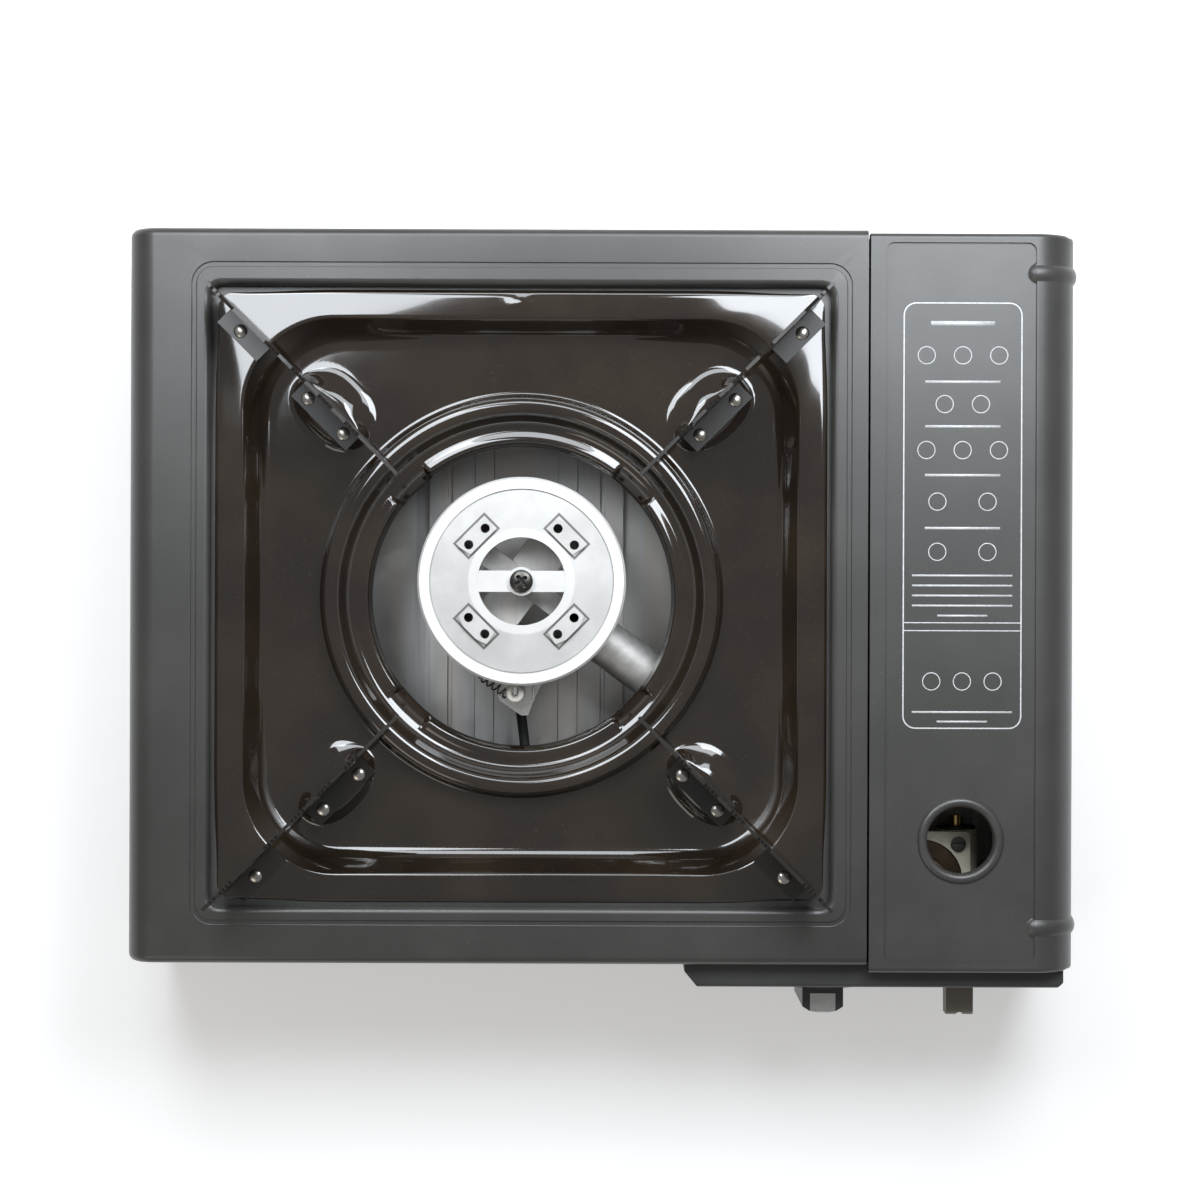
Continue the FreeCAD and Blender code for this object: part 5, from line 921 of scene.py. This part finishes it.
@dataclass
class CrossScrew:
    """A pan-head screw seen from above, with a tapered cross recess."""

    radius: float
    rise: float
    shank: float
    turn: float = 0.0
    steps: int = 72
    rows: int = 22
    core: float = 0.47
    crown: tuple[float, float] = (0.42, 3.2)
    arm: tuple[float, float] = (0.09, 0.15)
    reach: tuple[float, float] = (0.42, 0.62)
    recess: float = 0.62
    edge: tuple[tuple[float, float], ...] = ((0.96, 0.0), (1.0, 0.12), (1.005, 0.4))

    def loop(self, share: float) -> list[Vector]:
        """Lay one loop of the head's top.

        Args:
            share: The loop's radius as a share of the head's.

        Returns:
            The loop's points about the seat's middle.
        """
        points = []
        for k in range(self.steps):
            a = 2 * math.pi * k / self.steps
            x, y = share * math.cos(a), share * math.sin(a)
            slot = (1 - smooth(min(abs(x), abs(y)), *self.arm)) * (1 - smooth(share, *self.reach))
            z = self.rise * (1 - self.crown[0] * share ** self.crown[1]) - self.rise * self.recess * slot
            points.append(Vector((x * self.radius, y * self.radius, z)))
        return points

    def build(self, name: str, centre: Vector) -> bpy.types.Object:
        """Make the screw.

        Args:
            name: Name of the piece.
            centre: Middle of the head's seat.

        Returns:
            The screw as a mesh object.
        """
        walls = [(self.core, -self.shank), (self.core, -0.00001)]
        walls += [(share, self.rise * lift) for share, lift in self.edge]
        loops = [[Vector((self.radius * math.cos(2 * math.pi * k / self.steps) * share,
                          self.radius * math.sin(2 * math.pi * k / self.steps) * share, z))
                  for k in range(self.steps)] for share, z in walls]
        loops += [self.loop(i / self.rows) for i in range(self.rows, 0, -1)]
        item = rings(name, loops)
        bm = bmesh.new()
        bm.from_mesh(item.data)
        bmesh.ops.holes_fill(bm, edges=bm.edges, sides=self.steps)
        bmesh.ops.recalc_face_normals(bm, faces=bm.faces)
        place = Matrix.Translation(centre) @ Matrix.Rotation(math.radians(self.turn), 4, "Z")
        bmesh.ops.transform(bm, matrix=place, verts=bm.verts)
        bm.to_mesh(item.data)
        bm.free()
        for face in item.data.polygons:
            face.use_smooth = True
        return item


# Sub-assemblies


@dataclass
class Case:
    """The pressed case with its tray, feet, partition and bay walls."""

    bead: float = 0.7
    groove: float = 0.8
    strip: tuple[float, float, float] = (4.4, 52.4, 0.7)
    strip_place: tuple[float, float, float] = (-30.0, 11.0, 6.41)
    strip_reach: tuple[float, ...] = (51.6, 63.6, 75.6, 87.6)
    sharp: float = 40.0

    def build(self) -> None:
        """Make and dress the case's pieces."""
        self.shell()
        self.strips()
        skin("bay_wall", Paint.CASE, 0.2)
        skin("base_plate", Paint.ZINC)
        skin("partition_plate", Paint.INNER)
        skin("heat_shield", Paint.ZINC, 0.15, 25)
        skin("feet", Paint.FOOT, 0.8, 40, 3)
        skin("foot_screws", Paint.STEEL, 0.3)

    def strips(self) -> None:
        """Flush strips that close the air slots of the base to the eye."""
        x, y, z = self.strip_place
        spots = [Vector((x + side * reach, y, z)) * MM for side in (-1, 1) for reach in self.strip_reach]
        width, length, rise = (v * MM for v in self.strip)
        bars = bar_tree().grow("base_strips", spots, Paint.ZINC, Length=width, Width=length, Rise=rise)
        polish(bars, 0.0, 30)
        finish_piece(bars, Paint.ZINC, "case", slot="zinc_sheet")

    def shell(self) -> None:
        """Make the shell, with the line round its opening pressed in as a narrow groove."""
        bm = merged_copy("top_shell")
        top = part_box("top_shell")[1].z - self.bead * MM
        for vert in bm.verts:
            if vert.co.z > top + 1e-6:
                vert.co.z = top - self.groove * (vert.co.z - top)
        item = from_bmesh("top_shell_form", bm)
        polish(item, 0.0, self.sharp)
        finish_piece(item, Paint.CASE, "case", "top_shell")


@dataclass
class DripPan:
    """The enamelled pan: a square that turns into a round collar, with four seats."""

    steps: int = 400
    wall: float = 0.7
    skirt: float = 3.0
    crown: float = 2.4
    band: float = 9.4
    warp: float = 0.7
    top_fold: float = 1.8
    low_fold: float = 8.0
    slope: float = 52.0
    depth: float = 8.8
    outer_corner: float = 3.5
    inner_corner: float = 34.0
    floor_corner: float = 27.0
    seat: float = 96.0
    seat_size: tuple[float, float] = (17.5, 13.2)
    seat_top: tuple[float, float, float] = (11.6, 7.4, 2.0)
    seat_rise: float = 5.0
    floor_rows: int = 44
    collar_foot: float = 74.6
    crest: float = 68.7
    crest_rise: float = 8.0
    groove: float = 60.5
    lip: float = 56.85
    hole: float = 54.5
    notch: tuple[float, float] = (7.0, 8.6)
    notch_fall: tuple[float, float, float] = (0.78, 5.58, 1.25)
    roundness: float = 2.4
    rim_rows: tuple[tuple[float, float], ...] = ((0.0, 1.4), (0.0, 0.9), (0.12, 0.62))
    band_rows: tuple[float, ...] = (0.35, 0.7, 1.1, 1.6, 2.2, 3.0, 4.0, 5.0, 6.0, 7.0, 8.0)
    band_end: float = 0.4
    crown_fall: float = 0.5
    corner_fall: float = 0.12
    dent: float = 0.35
    box: tuple[Vector, Vector] = field(default_factory=lambda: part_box("drip_pan"))

    def centre(self) -> Vector:
        """Middle of the pan at the height of its rim."""
        low, high = self.box
        return Vector(((low.x + high.x) / 2, (low.y + high.y) / 2, high.z))

    def directions(self) -> list[float]:
        """Spread the angles round the pan, closer together at the four corners.

        Returns:
            The angles in radians.
        """
        quarter = self.steps // 4
        angles = []
        for corner in range(4):
            for k in range(quarter):
                t = (2 * (k + 0.5) - quarter) / quarter
                angles.append(math.radians(45 + 90 * corner + math.copysign(45 * abs(t) ** 1.6, t)))
        return angles

    def seat_height(self, x: float, y: float) -> float:
        """Find the rise of the nearest pad: flat in front, domed behind.

        Args:
            x: Place along X from the pan's middle in millimetres.
            y: Place along Y from the pan's middle in millimetres.

        Returns:
            The rise in millimetres.
        """
        along = (abs(x) + abs(y)) / math.sqrt(2) - self.seat
        across = (abs(y) - abs(x)) / math.sqrt(2)
        flat = self.seat_top[2] if y * across > 0 else self.seat_top[1]
        power = self.roundness
        foot = abs(along / self.seat_size[0]) ** power + abs(across / self.seat_size[1]) ** power
        top = abs(along / self.seat_top[0]) ** power + abs(across / flat) ** power
        foot, top = foot ** (1 / power), top ** (1 / power)
        if top <= 1:
            return self.seat_rise
        if foot >= 1:
            return 0.0
        share = (top - 1) / ((top - 1) + (1 - foot) * top / foot)
        return self.seat_rise * (1 - smooth(share, 0.0, 1.0))

    def fold_rows(self) -> list[tuple[float, float]]:
        """Lay the profile from the band over both folds down to the floor.

        Returns:
            Run and fall of each row in millimetres.
        """
        tilt = math.radians(self.slope)
        rows = [(self.top_fold * math.sin(tilt * t), self.top_fold * (1 - math.cos(tilt * t)))
                for t in (0.0, 0.2, 0.4, 0.6, 0.8, 1.0)]
        low_run = self.low_fold * math.sin(tilt)
        low_fall = self.low_fold * (1 - math.cos(tilt))
        straight = self.depth - rows[-1][1] - low_fall
        run = rows[-1][0] + straight / math.tan(tilt)
        rows.append((run, self.depth - low_fall))
        for i in range(1, 11):
            angle = tilt * (1 - i / 10)
            rows.append((run + low_run - self.low_fold * math.sin(angle),
                         self.depth - self.low_fold * (1 - math.cos(angle))))
        return rows

    def collar_rows(self) -> list[tuple[float, float]]:
        """Lay the collar's profile from its foot over the crest and the lip to the hole.

        Returns:
            Radius and rise of each row in millimetres.
        """
        rise = self.crest_rise
        rows = [(self.collar_foot - away, lift) for away, lift in
                ((0.7, 0.04), (1.3, 0.3), (1.8, 0.95), (2.2, 2.3), (2.6, 4.2), (2.95, 5.8), (3.25, 6.8))]
        for away, drop in ((2.4, 0.8), (2.0, 0.42), (1.4, 0.17), (0.7, 0.04), (0.0, 0.0), (-0.7, 0.04),
                           (-1.4, 0.17), (-2.0, 0.42), (-2.4, 0.75), (-2.8, 1.3), (-3.3, 2.2), (-4.1, 3.7),
                           (-5.0, 5.1), (-5.9, 6.2), (-6.7, 6.8), (-7.4, 7.1)):
            rows.append((self.crest + away, rise - drop))
        for share, lift in ((1.0, 0.78), (0.84, 0.86), (0.66, 1.05), (0.45, 1.3), (0.25, 1.48), (0.1, 1.56),
                            (0.0, 1.58)):
            rows.append((self.lip + (self.groove - self.lip) * share, lift))
        for away, lift in ((0.45, 1.5), (0.85, 1.15), (1.1, 0.6), (1.3, -0.1), (1.5, -1.2), (1.75, -2.6),
                           (2.1, -4.0), (self.lip - self.hole, -4.8)):
            rows.append((self.lip - away, lift))
        return rows

    def notched(self, angle: float, reach: float, lift: float) -> float:
        """Press the collar's lip away under the arms' inner ends.

        Args:
            angle: Direction from the pan's middle in radians.
            reach: Distance from it in millimetres.
            lift: The collar's own rise there.

        Returns:
            The rise after pressing.
        """
        aside = abs((math.degrees(angle) % 90) - 45)
        share = 1 - smooth(aside, *self.notch)
        if reach >= self.groove or share == 0:
            return lift
        inward = (self.groove - reach) / (self.groove - self.hole)
        start, drop, power = self.notch_fall
        pressed = start - drop * inward ** power
        return lift + (min(lift, pressed) - lift) * share

    def band_fall(self, angle: float, inset: float) -> float:
        """Find the band's fall: a soft crown at the rim, a slight twist in the corners, a dent behind.

        Args:
            angle: Direction from the pan's middle in radians.
            inset: Distance inward from the rim in millimetres.

        Returns:
            The fall in millimetres.
        """
        edge = max(0.0, 1 - inset / self.crown)
        aside = abs((math.degrees(angle) % 90) - 45)
        corner = 1 - smooth(aside, 2.0, 16.0)
        outward = max(0.0, 1 - inset / self.band)
        near_rear = smooth(abs(math.degrees(angle) % 360 - 90), 3.0, 0.6)
        dented = near_rear * smooth(abs(inset - self.band / 2), 3.2, 0.5)
        lowered = (self.corner_fall + self.warp * corner) * outward ** 1.5
        return self.crown_fall * edge ** 2 + lowered - self.dent * dented

    def build(self) -> None:
        """Make and dress the pan."""
        centre = self.centre()
        half = (self.box[1].x - self.box[0].x) / 2 / MM
        angles = self.directions()
        loops: list[list[Vector]] = []
        for inset, fall in ((0.0, self.skirt), *self.rim_rows):
            loops.append([self.spot(centre, a, squircle(a, half - inset, self.outer_corner),
                                    fall + self.band_fall(a, 0) - self.crown_fall) for a in angles])
        for inset in (*self.band_rows, self.band - self.band_end):
            corner = self.outer_corner + (self.inner_corner - self.outer_corner) * (inset / self.band) ** 1.3
            loops.append([self.spot(centre, a, squircle(a, half - inset, corner), self.band_fall(a, inset))
                          for a in angles])
        folds = self.fold_rows()
        for run, fall in folds:
            corner = self.inner_corner + (self.floor_corner - self.inner_corner) * run / folds[-1][0]
            reach = half - self.band - run
            loops.append([self.spot(centre, a, squircle(a, reach, corner), fall) for a in angles])
        reach = half - self.band - folds[-1][0]
        for i in range(1, self.floor_rows + 1):
            t = i / self.floor_rows
            loop = []
            for a in angles:
                out = squircle(a, reach, self.floor_corner) * (1 - t) + self.collar_foot * t
                loop.append(self.spot(centre, a, out, self.depth - self.seat_height(out * math.cos(a),
                                                                                  out * math.sin(a))))
            loops.append(loop)
        for out, lift in self.collar_rows():
            loops.append([self.spot(centre, a, out, self.depth - self.notched(a, out, lift))
                          for a in angles])
        item = rings("drip_pan_form", loops)
        for face in item.data.polygons:
            face.use_smooth = True
        thick = item.modifiers.new("wall", "SOLIDIFY")
        thick.thickness = self.wall * MM
        thick.offset = -1
        bake(item)
        finish_piece(item, Paint.PAN, "pan", "drip_pan")

    @staticmethod
    def spot(centre: Vector, angle: float, reach: float, fall: float) -> Vector:
        """A point at an angle, reach and drop in millimetres from the pan's middle."""
        return centre + Vector((reach * math.cos(angle), reach * math.sin(angle), -fall)) * MM


@dataclass
class PotSupports:
    """Four pressed arms with their rivets."""

    names: tuple[str, ...] = ("support_arm_rear_right", "support_arm_rear_left",
                              "support_arm_front_left", "support_arm_front_right")
    head: float = 2.5
    rise: float = 1.1

    def build(self) -> None:
        """Make and dress the arms and rivets."""
        for name in self.names:
            skin(name, Paint.ARM, 0.36, 35, 3)
        heads = dome_tree().grow("arm_rivet_heads", self.seats(), Paint.RIVET,
                                 Head_Radius=self.head * MM, Rise=self.rise * MM)
        finish_piece(heads, Paint.RIVET, "pan", "arm_rivets")

    def seats(self) -> list[Vector]:
        """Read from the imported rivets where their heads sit.

        Returns:
            The middle of each head's seat.
        """
        mesh = frame["nodes"]["arm_rivets"].data
        tops: list[Vector] = []
        for vert in sorted(mesh.vertices, key=lambda v: -v.co.z):
            if all((vert.co - top).xy.length > 4 * MM for top in tops):
                tops.append(vert.co.copy())
        return [top - Vector((0, 0, self.rise * MM)) for top in tops]


@dataclass
class Burner:
    """The cast burner, its cap, screw, tube, shutter and bracket."""

    head_radius: float = 4.15
    head_rise: float = 2.2
    head_turn: float = 38.0

    def build(self) -> None:
        """Make and dress the burner's pieces."""
        low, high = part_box("burner_cap")
        centre = (low + high) / 2
        cap = from_bmesh("burner_cap_form", merged_copy("burner_cap"))
        polish(cap, 0.3, 30, 2)
        finish_piece(cap, Paint.TUBE, "case", "burner_cap")
        cap.data.materials[0] = CapAlloy("cap_alloy", tuple(centre)).material()
        skin("burner_base", Paint.TUBE, 0.3)
        low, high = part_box("burner_screw")
        seat = high.z - self.head_rise * MM
        screw = CrossScrew(self.head_radius * MM, self.head_rise * MM, seat - low.z, self.head_turn)
        top = screw.build("burner_screw_form", Vector((centre.x, centre.y, seat)))
        finish_piece(top, Paint.DARK, "case", "burner_screw")
        skin("air_shutter", Paint.INNER, 0.15)
        skin("burner_bracket", Paint.INNER, 0.2)
        skin("bracket_screws", Paint.STEEL, 0.3)


@dataclass
class Ignition:
    """Electrode, lead, igniter and its plunger."""

    ring: tuple[float, float, float] = (3.2, 1.15, 0.8)
    coil_ends: tuple[tuple[float, float, float], tuple[float, float, float]] = (
        (-35.6, -24.9, 64.4), (-45.5, -18.0, 61.5))
    coil_size: tuple[float, float, float] = (1.45, 5.0, 0.34)

    def collar(self) -> None:
        """A glazed collar round the electrode's tip."""
        low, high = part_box("electrode_insulator")
        outer, inner, rise = self.ring
        level = high.z / MM
        section = ((outer, -0.2), (outer, rise * 0.6), (outer - 0.35, rise), (inner + 0.3, rise),
                   (inner, rise * 0.6), (inner, -0.2), (outer, -0.2))
        middle = (low + high) / 2
        loops = [[Vector((middle.x / MM + r * math.cos(math.tau * k / 48),
                          middle.y / MM + r * math.sin(math.tau * k / 48), level + lift)) * MM
                  for k in range(48)] for r, lift in section]
        item = rings("electrode_collar", loops)
        bm = bmesh.new()
        bm.from_mesh(item.data)
        bmesh.ops.remove_doubles(bm, verts=bm.verts, dist=1e-6)
        bmesh.ops.recalc_face_normals(bm, faces=bm.faces)
        bm.to_mesh(item.data)
        bm.free()
        polish(item, 0.0, 35)
        finish_piece(item, Paint.CERAMIC, "case", slot="ceramic")

    def coil(self) -> None:
        """The small dark spring that leads from the electrode under the cap."""
        start, end = (Vector(v) * MM for v in self.coil_ends)
        radius, turns, wire = self.coil_size
        axis = (end - start).normalized()
        side = axis.orthogonal().normalized()
        other = axis.cross(side)
        data = bpy.data.curves.new("electrode_coil", "CURVE")
        data.dimensions = "3D"
        data.bevel_depth = wire * MM
        data.bevel_resolution = 3
        data.use_fill_caps = True
        spline = data.splines.new("POLY")
        count = int(turns * 28)
        spline.points.add(count)
        for k, point in enumerate(spline.points):
            share = k / count
            a = math.tau * turns * share
            spot = start.lerp(end, share) + (side * math.cos(a) + other * math.sin(a)) * radius * MM
            point.co = (*spot, 1.0)
        item = bpy.data.objects.new("electrode_coil_path", data)
        bpy.context.scene.collection.objects.link(item)
        graph = bpy.context.evaluated_depsgraph_get()
        mesh = bpy.data.meshes.new_from_object(item.evaluated_get(graph), depsgraph=graph)
        bpy.data.objects.remove(item)
        form = link("electrode_coil", mesh)
        for face in mesh.polygons:
            face.use_smooth = True
        finish_piece(form, Paint.DARK, "case", slot="screw_bright")

    def build(self) -> None:
        """Make and dress the ignition's pieces."""
        skin("electrode_insulator", Paint.CERAMIC, 0.3)
        skin("electrode_pin", Paint.STEEL)
        skin("electrode_bracket", Paint.STEEL, 0.2)
        self.collar()
        self.coil()
        skin("ignition_cable", Paint.LEAD)
        skin("cable_clips", Paint.CLIP, 0.3)
        skin("piezo_igniter", Paint.IGNITER, 0.5)
        skin("igniter_plunger", Paint.NYLON, 0.4)


@dataclass
class GasControl:
    """Panel, knob, tap, regulator and inlet."""

    def build(self) -> None:
        """Make and dress the gas control's pieces."""
        skin("control_panel", Paint.PANEL, 0.3)
        skin("knob", Paint.KNOB, 0.5, 25, 3)
        skin("knob_insert", Paint.SATIN, 0.3, 25)
        skin("valve_spindle", Paint.BRASS, 0.2)
        skin("spindle_cam", Paint.STEEL, 0.2)
        skin("valve_body", Paint.BRASS, 0.4)
        skin("regulator_body", Paint.DIE, 0.4)
        skin("diaphragm", Paint.SEAL, 0.1)
        skin("cover_frame", Paint.DIE, 0.3)
        skin("diaphragm_cover", Paint.COVER, 0.3)
        skin("cover_screws", Paint.DARK, 0.15)
        skin("regulator_spring", Paint.STEEL)
        skin("inlet_nozzle", Paint.BRASS, 0.2)
        skin("inlet_seal", Paint.SEAL, 0.2)
        skin("injector", Paint.BRASS, 0.3)
        skin("regulator_bracket", Paint.INNER, 0.2)


@dataclass
class CartridgeBay:
    """Lock lever, carriage, rails, saddles and stop."""

    def build(self) -> None:
        """Make and dress the bay's pieces."""
        skin("lock_lever", Paint.STEEL, 0.25)
        skin("lever_cap", Paint.LEVER, 0.5, 30, 3)
        skin("lever_pivot_pin", Paint.STEEL, 0.2)
        skin("lever_bracket", Paint.INNER, 0.15)
        skin("cartridge_carriage", Paint.INNER, 0.15)
        skin("cartridge_guide", Paint.INNER, 0.15)
        skin("cartridge_saddles", Paint.NYLON, 0.4)
        skin("cartridge_stop", Paint.STEEL, 0.15)


@dataclass
class Lid:
    """The pressed lid with its hinges and the printed field on its top."""

    border: tuple[float, float, float, float] = (107.1, -36.0, 149.8, 117.0)
    corner: float = 4.6
    line: float = 0.45
    recess: float = 83.0
    ink: float = 0.02
    divider: float = -0.95
    divider_gap: float = 2.85
    divider_line: float = 0.35
    arc_steps: int = 8
    rules: tuple[tuple[float, tuple[float, ...], float], ...] = (
        (23.0, (7.5,), 1.6),
        (27.0, (28.5, 44.5, 62.0, 81.0), 0.9),
        (36.0, (98.0, 101.6, 105.2, 108.8, 147.0), 0.7),
        (18.0, (112.4, 150.4), 0.7))
    marks: tuple[tuple[float, float], ...] = (
        (-13.0, 19.0), (0.0, 19.0), (13.0, 19.0), (-6.5, 36.5), (6.5, 36.5), (-13.0, 53.0), (0.0, 53.0),
        (13.0, 53.0), (-9.0, 71.5), (9.0, 71.5), (-9.0, 89.5), (9.0, 89.5), (-11.0, 136.0), (0.0, 136.0),
        (11.0, 136.0))
    mark_radius: float = 3.1

    def build(self) -> None:
        """Make and dress the lid's pieces."""
        skin("lid", Paint.LID, 0.0, 40)
        skin("lid_hinge_brackets", Paint.INNER, 0.2)
        skin("lid_hinge_pins", Paint.STEEL, 0.2)
        self.draw_print()

    def draw_print(self) -> None:
        """Round-cornered border, a divider and plain rules, with no words."""
        x0, y0, x1, y1 = self.border
        level = self.recess + self.ink
        bm = bmesh.new()
        rows = []
        for inset in (0.0, self.line):
            loop = []
            for cx, cy, start in ((x1, y1, 0), (x0, y1, 90), (x0, y0, 180), (x1, y0, 270)):
                ox = cx - math.copysign(self.corner, cx - (x0 + x1) / 2)
                oy = cy - math.copysign(self.corner, cy - (y0 + y1) / 2)
                for k in range(self.arc_steps + 1):
                    a = math.radians(start + 90 * k / self.arc_steps)
                    r = self.corner - inset
                    spot = Vector((ox + r * math.cos(a), oy + r * math.sin(a), level))
                    loop.append(bm.verts.new(spot * MM))
            rows.append(loop)
        count = len(rows[0])
        for i in range(count):
            j = (i + 1) % count
            bm.faces.new((rows[0][i], rows[0][j], rows[1][j], rows[1][i]))
        for y in (self.divider, self.divider + self.divider_gap):
            left, right, top = x0 + self.line, x1 - self.line, y + self.divider_line
            corners = [(left, y), (right, y), (right, top), (left, top)]
            bm.faces.new([bm.verts.new(Vector((u, w, level)) * MM) for u, w in corners])
        item = from_bmesh("lid_print_border", bm)
        finish_piece(item, Paint.PRINT, "lid", slot="lid_coat")
        middle = (x0 + x1) / 2
        tree = bar_tree()
        for index, (length, height, width) in enumerate(self.rules):
            spots = [Vector((middle, y1 - y, level)) * MM for y in height]
            bars = tree.grow("lid_print_rules_%d" % index, spots, Paint.PRINT,
                             Length=length * MM, Width=width * MM, Rise=self.ink * MM)
            finish_piece(bars, Paint.PRINT, "lid", slot="lid_coat")
        spots = [Vector((middle + x, y1 - y, level)) * MM for x, y in self.marks]
        marks = ring_tree().grow("lid_print_rings", spots, Paint.PRINT,
                                 Ring_Radius=self.mark_radius * MM, Width=self.divider_line * MM,
                                 Rise=self.ink * MM)
        finish_piece(marks, Paint.PRINT, "lid", slot="lid_coat")


@dataclass(frozen=True)
class Lamp:
    """One rectangular lamp: its place and sides in metres, its power in watts and its tint."""

    name: str
    spot: tuple[float, float, float]
    size: tuple[float, float]
    power: float
    tint: Colour = (0.9, 0.95, 1.0)

    def build(self, aim: Vector) -> None:
        """Hang the lamp.

        Args:
            aim: The point it faces.
        """
        data = bpy.data.lights.new(self.name, "AREA")
        data.color = self.tint
        data.shape = "RECTANGLE"
        data.size, data.size_y = self.size
        data.energy = self.power
        item = bpy.data.objects.new(self.name, data)
        bpy.context.scene.collection.objects.link(item)
        item.location = self.spot
        item.rotation_euler = (aim - Vector(self.spot)).to_track_quat("-Z", "Y").to_euler()


@dataclass
class Studio:
    """Floor, soft lamps, world and the camera above the stove."""

    focal_px: float = 2512.0
    image_px: float = 1200.0
    height: float = 0.9
    axis: tuple[float, float] = (-0.00145, 0.0098)
    turn: float = 0.2
    top: float = 0.084
    sensor: float = 36.0
    floor_size: float = 6.0
    floor_grey: float = 0.8
    floor_glow: tuple[float, float] = (0.32, 0.95)
    glow_reach: tuple[float, float] = (0.35, 1.8)
    sky: float = 0.3
    backdrop: float = 0.7
    aim: tuple[float, float, float] = (0.0, 0.0, 0.05)
    lamps: tuple[Lamp, ...] = (
        Lamp("rear_left_box", (-0.2, 0.27, 0.6), (0.2, 0.26), 1.7),
        Lamp("rear_right_box", (0.2, 0.27, 0.6), (0.24, 0.26), 2.6),
        Lamp("rear_strip", (0.03, 0.43, 0.52), (0.7, 0.2), 2.9),
        Lamp("front_box", (-0.35, -0.45, 0.5), (0.3, 0.3), 0.5, (1.0, 0.9, 0.78)))

    def build(self) -> None:
        """Set up the studio."""
        self.camera()
        self.floor()
        for lamp in self.lamps:
            lamp.build(Vector(self.aim))
        self.world()

    def camera(self) -> None:
        """A camera straight above, as far away as in the photograph."""
        data = bpy.data.cameras.new("camera")
        data.sensor_width = self.sensor
        data.lens = self.focal_px / self.image_px * data.sensor_width
        data.clip_end = 20.0
        item = bpy.data.objects.new("camera", data)
        bpy.context.scene.collection.objects.link(item)
        item.location = (*self.axis, self.top + self.height)
        item.rotation_euler = (0, 0, math.radians(self.turn))
        bpy.context.scene.camera = item

    def floor(self) -> None:
        """A pale floor that stays white to the camera and keeps the shadow."""
        bm = bmesh.new()
        bmesh.ops.create_grid(bm, x_segments=1, y_segments=1, size=self.floor_size)
        item = from_bmesh("floor", bm)
        material = bpy.data.materials.new("floor")
        material.use_nodes = True
        graph = Graph(material.node_tree)
        path = graph.node("ShaderNodeLightPath")
        seen = Wire(graph, path.outputs["Is Camera Ray"])
        seen = seen.apply("MAXIMUM", seen, Wire(graph, path.outputs["Is Glossy Ray"]))
        x, y, _ = graph.axes(graph.place())
        glow = (x * x + y * y).power(0.5).ease(*self.glow_reach, *self.floor_glow)
        matt = graph.wire("ShaderNodeBsdfDiffuse", None, {"Color": (self.floor_grey,) * 3})
        glow = graph.wire("ShaderNodeEmission", None, {"Color": (1.0, 1.0, 1.0), "Strength": glow * seen})
        both = graph.wire("ShaderNodeAddShader", None, {0: matt, 1: glow})
        graph.node("ShaderNodeOutputMaterial", None, {"Surface": both})
        item.data.materials.append(material)

    def world(self) -> None:
        """An even pale surround that is white to the camera."""
        world = bpy.data.worlds.new("surround")
        world.use_nodes = True
        bpy.context.scene.world = world
        graph = Graph(world.node_tree)
        path = graph.node("ShaderNodeLightPath")
        seen = Wire(graph, path.outputs["Is Camera Ray"])
        seen = seen.apply("MAXIMUM", seen, Wire(graph, path.outputs["Is Transmission Ray"]))
        height = graph.axes(graph.wire("ShaderNodeTexCoord", output="Generated"))[2]
        backdrop = Wire(graph, path.outputs["Is Glossy Ray"]) * height.ease(0.0, 0.3, self.backdrop, 0.0)
        strength = self.sky + seen * (1 - self.sky) + (1 - seen) * backdrop
        sky = graph.wire("ShaderNodeBackground", None, {"Color": (1.0, 1.0, 1.0), "Strength": strength})
        graph.node("ShaderNodeOutputWorld", None, {"Surface": sky})


def main() -> None:
    """Build the studio and the stove."""
    logging.basicConfig(level=logging.INFO, format="%(message)s")
    scene = bpy.context.scene
    scene.view_settings.view_transform = "Standard"
    Studio().build()
    for part in (Case(), DripPan(), PotSupports(), Burner(), Ignition(), GasControl(), CartridgeBay(),
                 Lid()):
        LOG.info("-- %s", type(part).__name__)
        part.build()


if __name__ == "__main__":
    main()
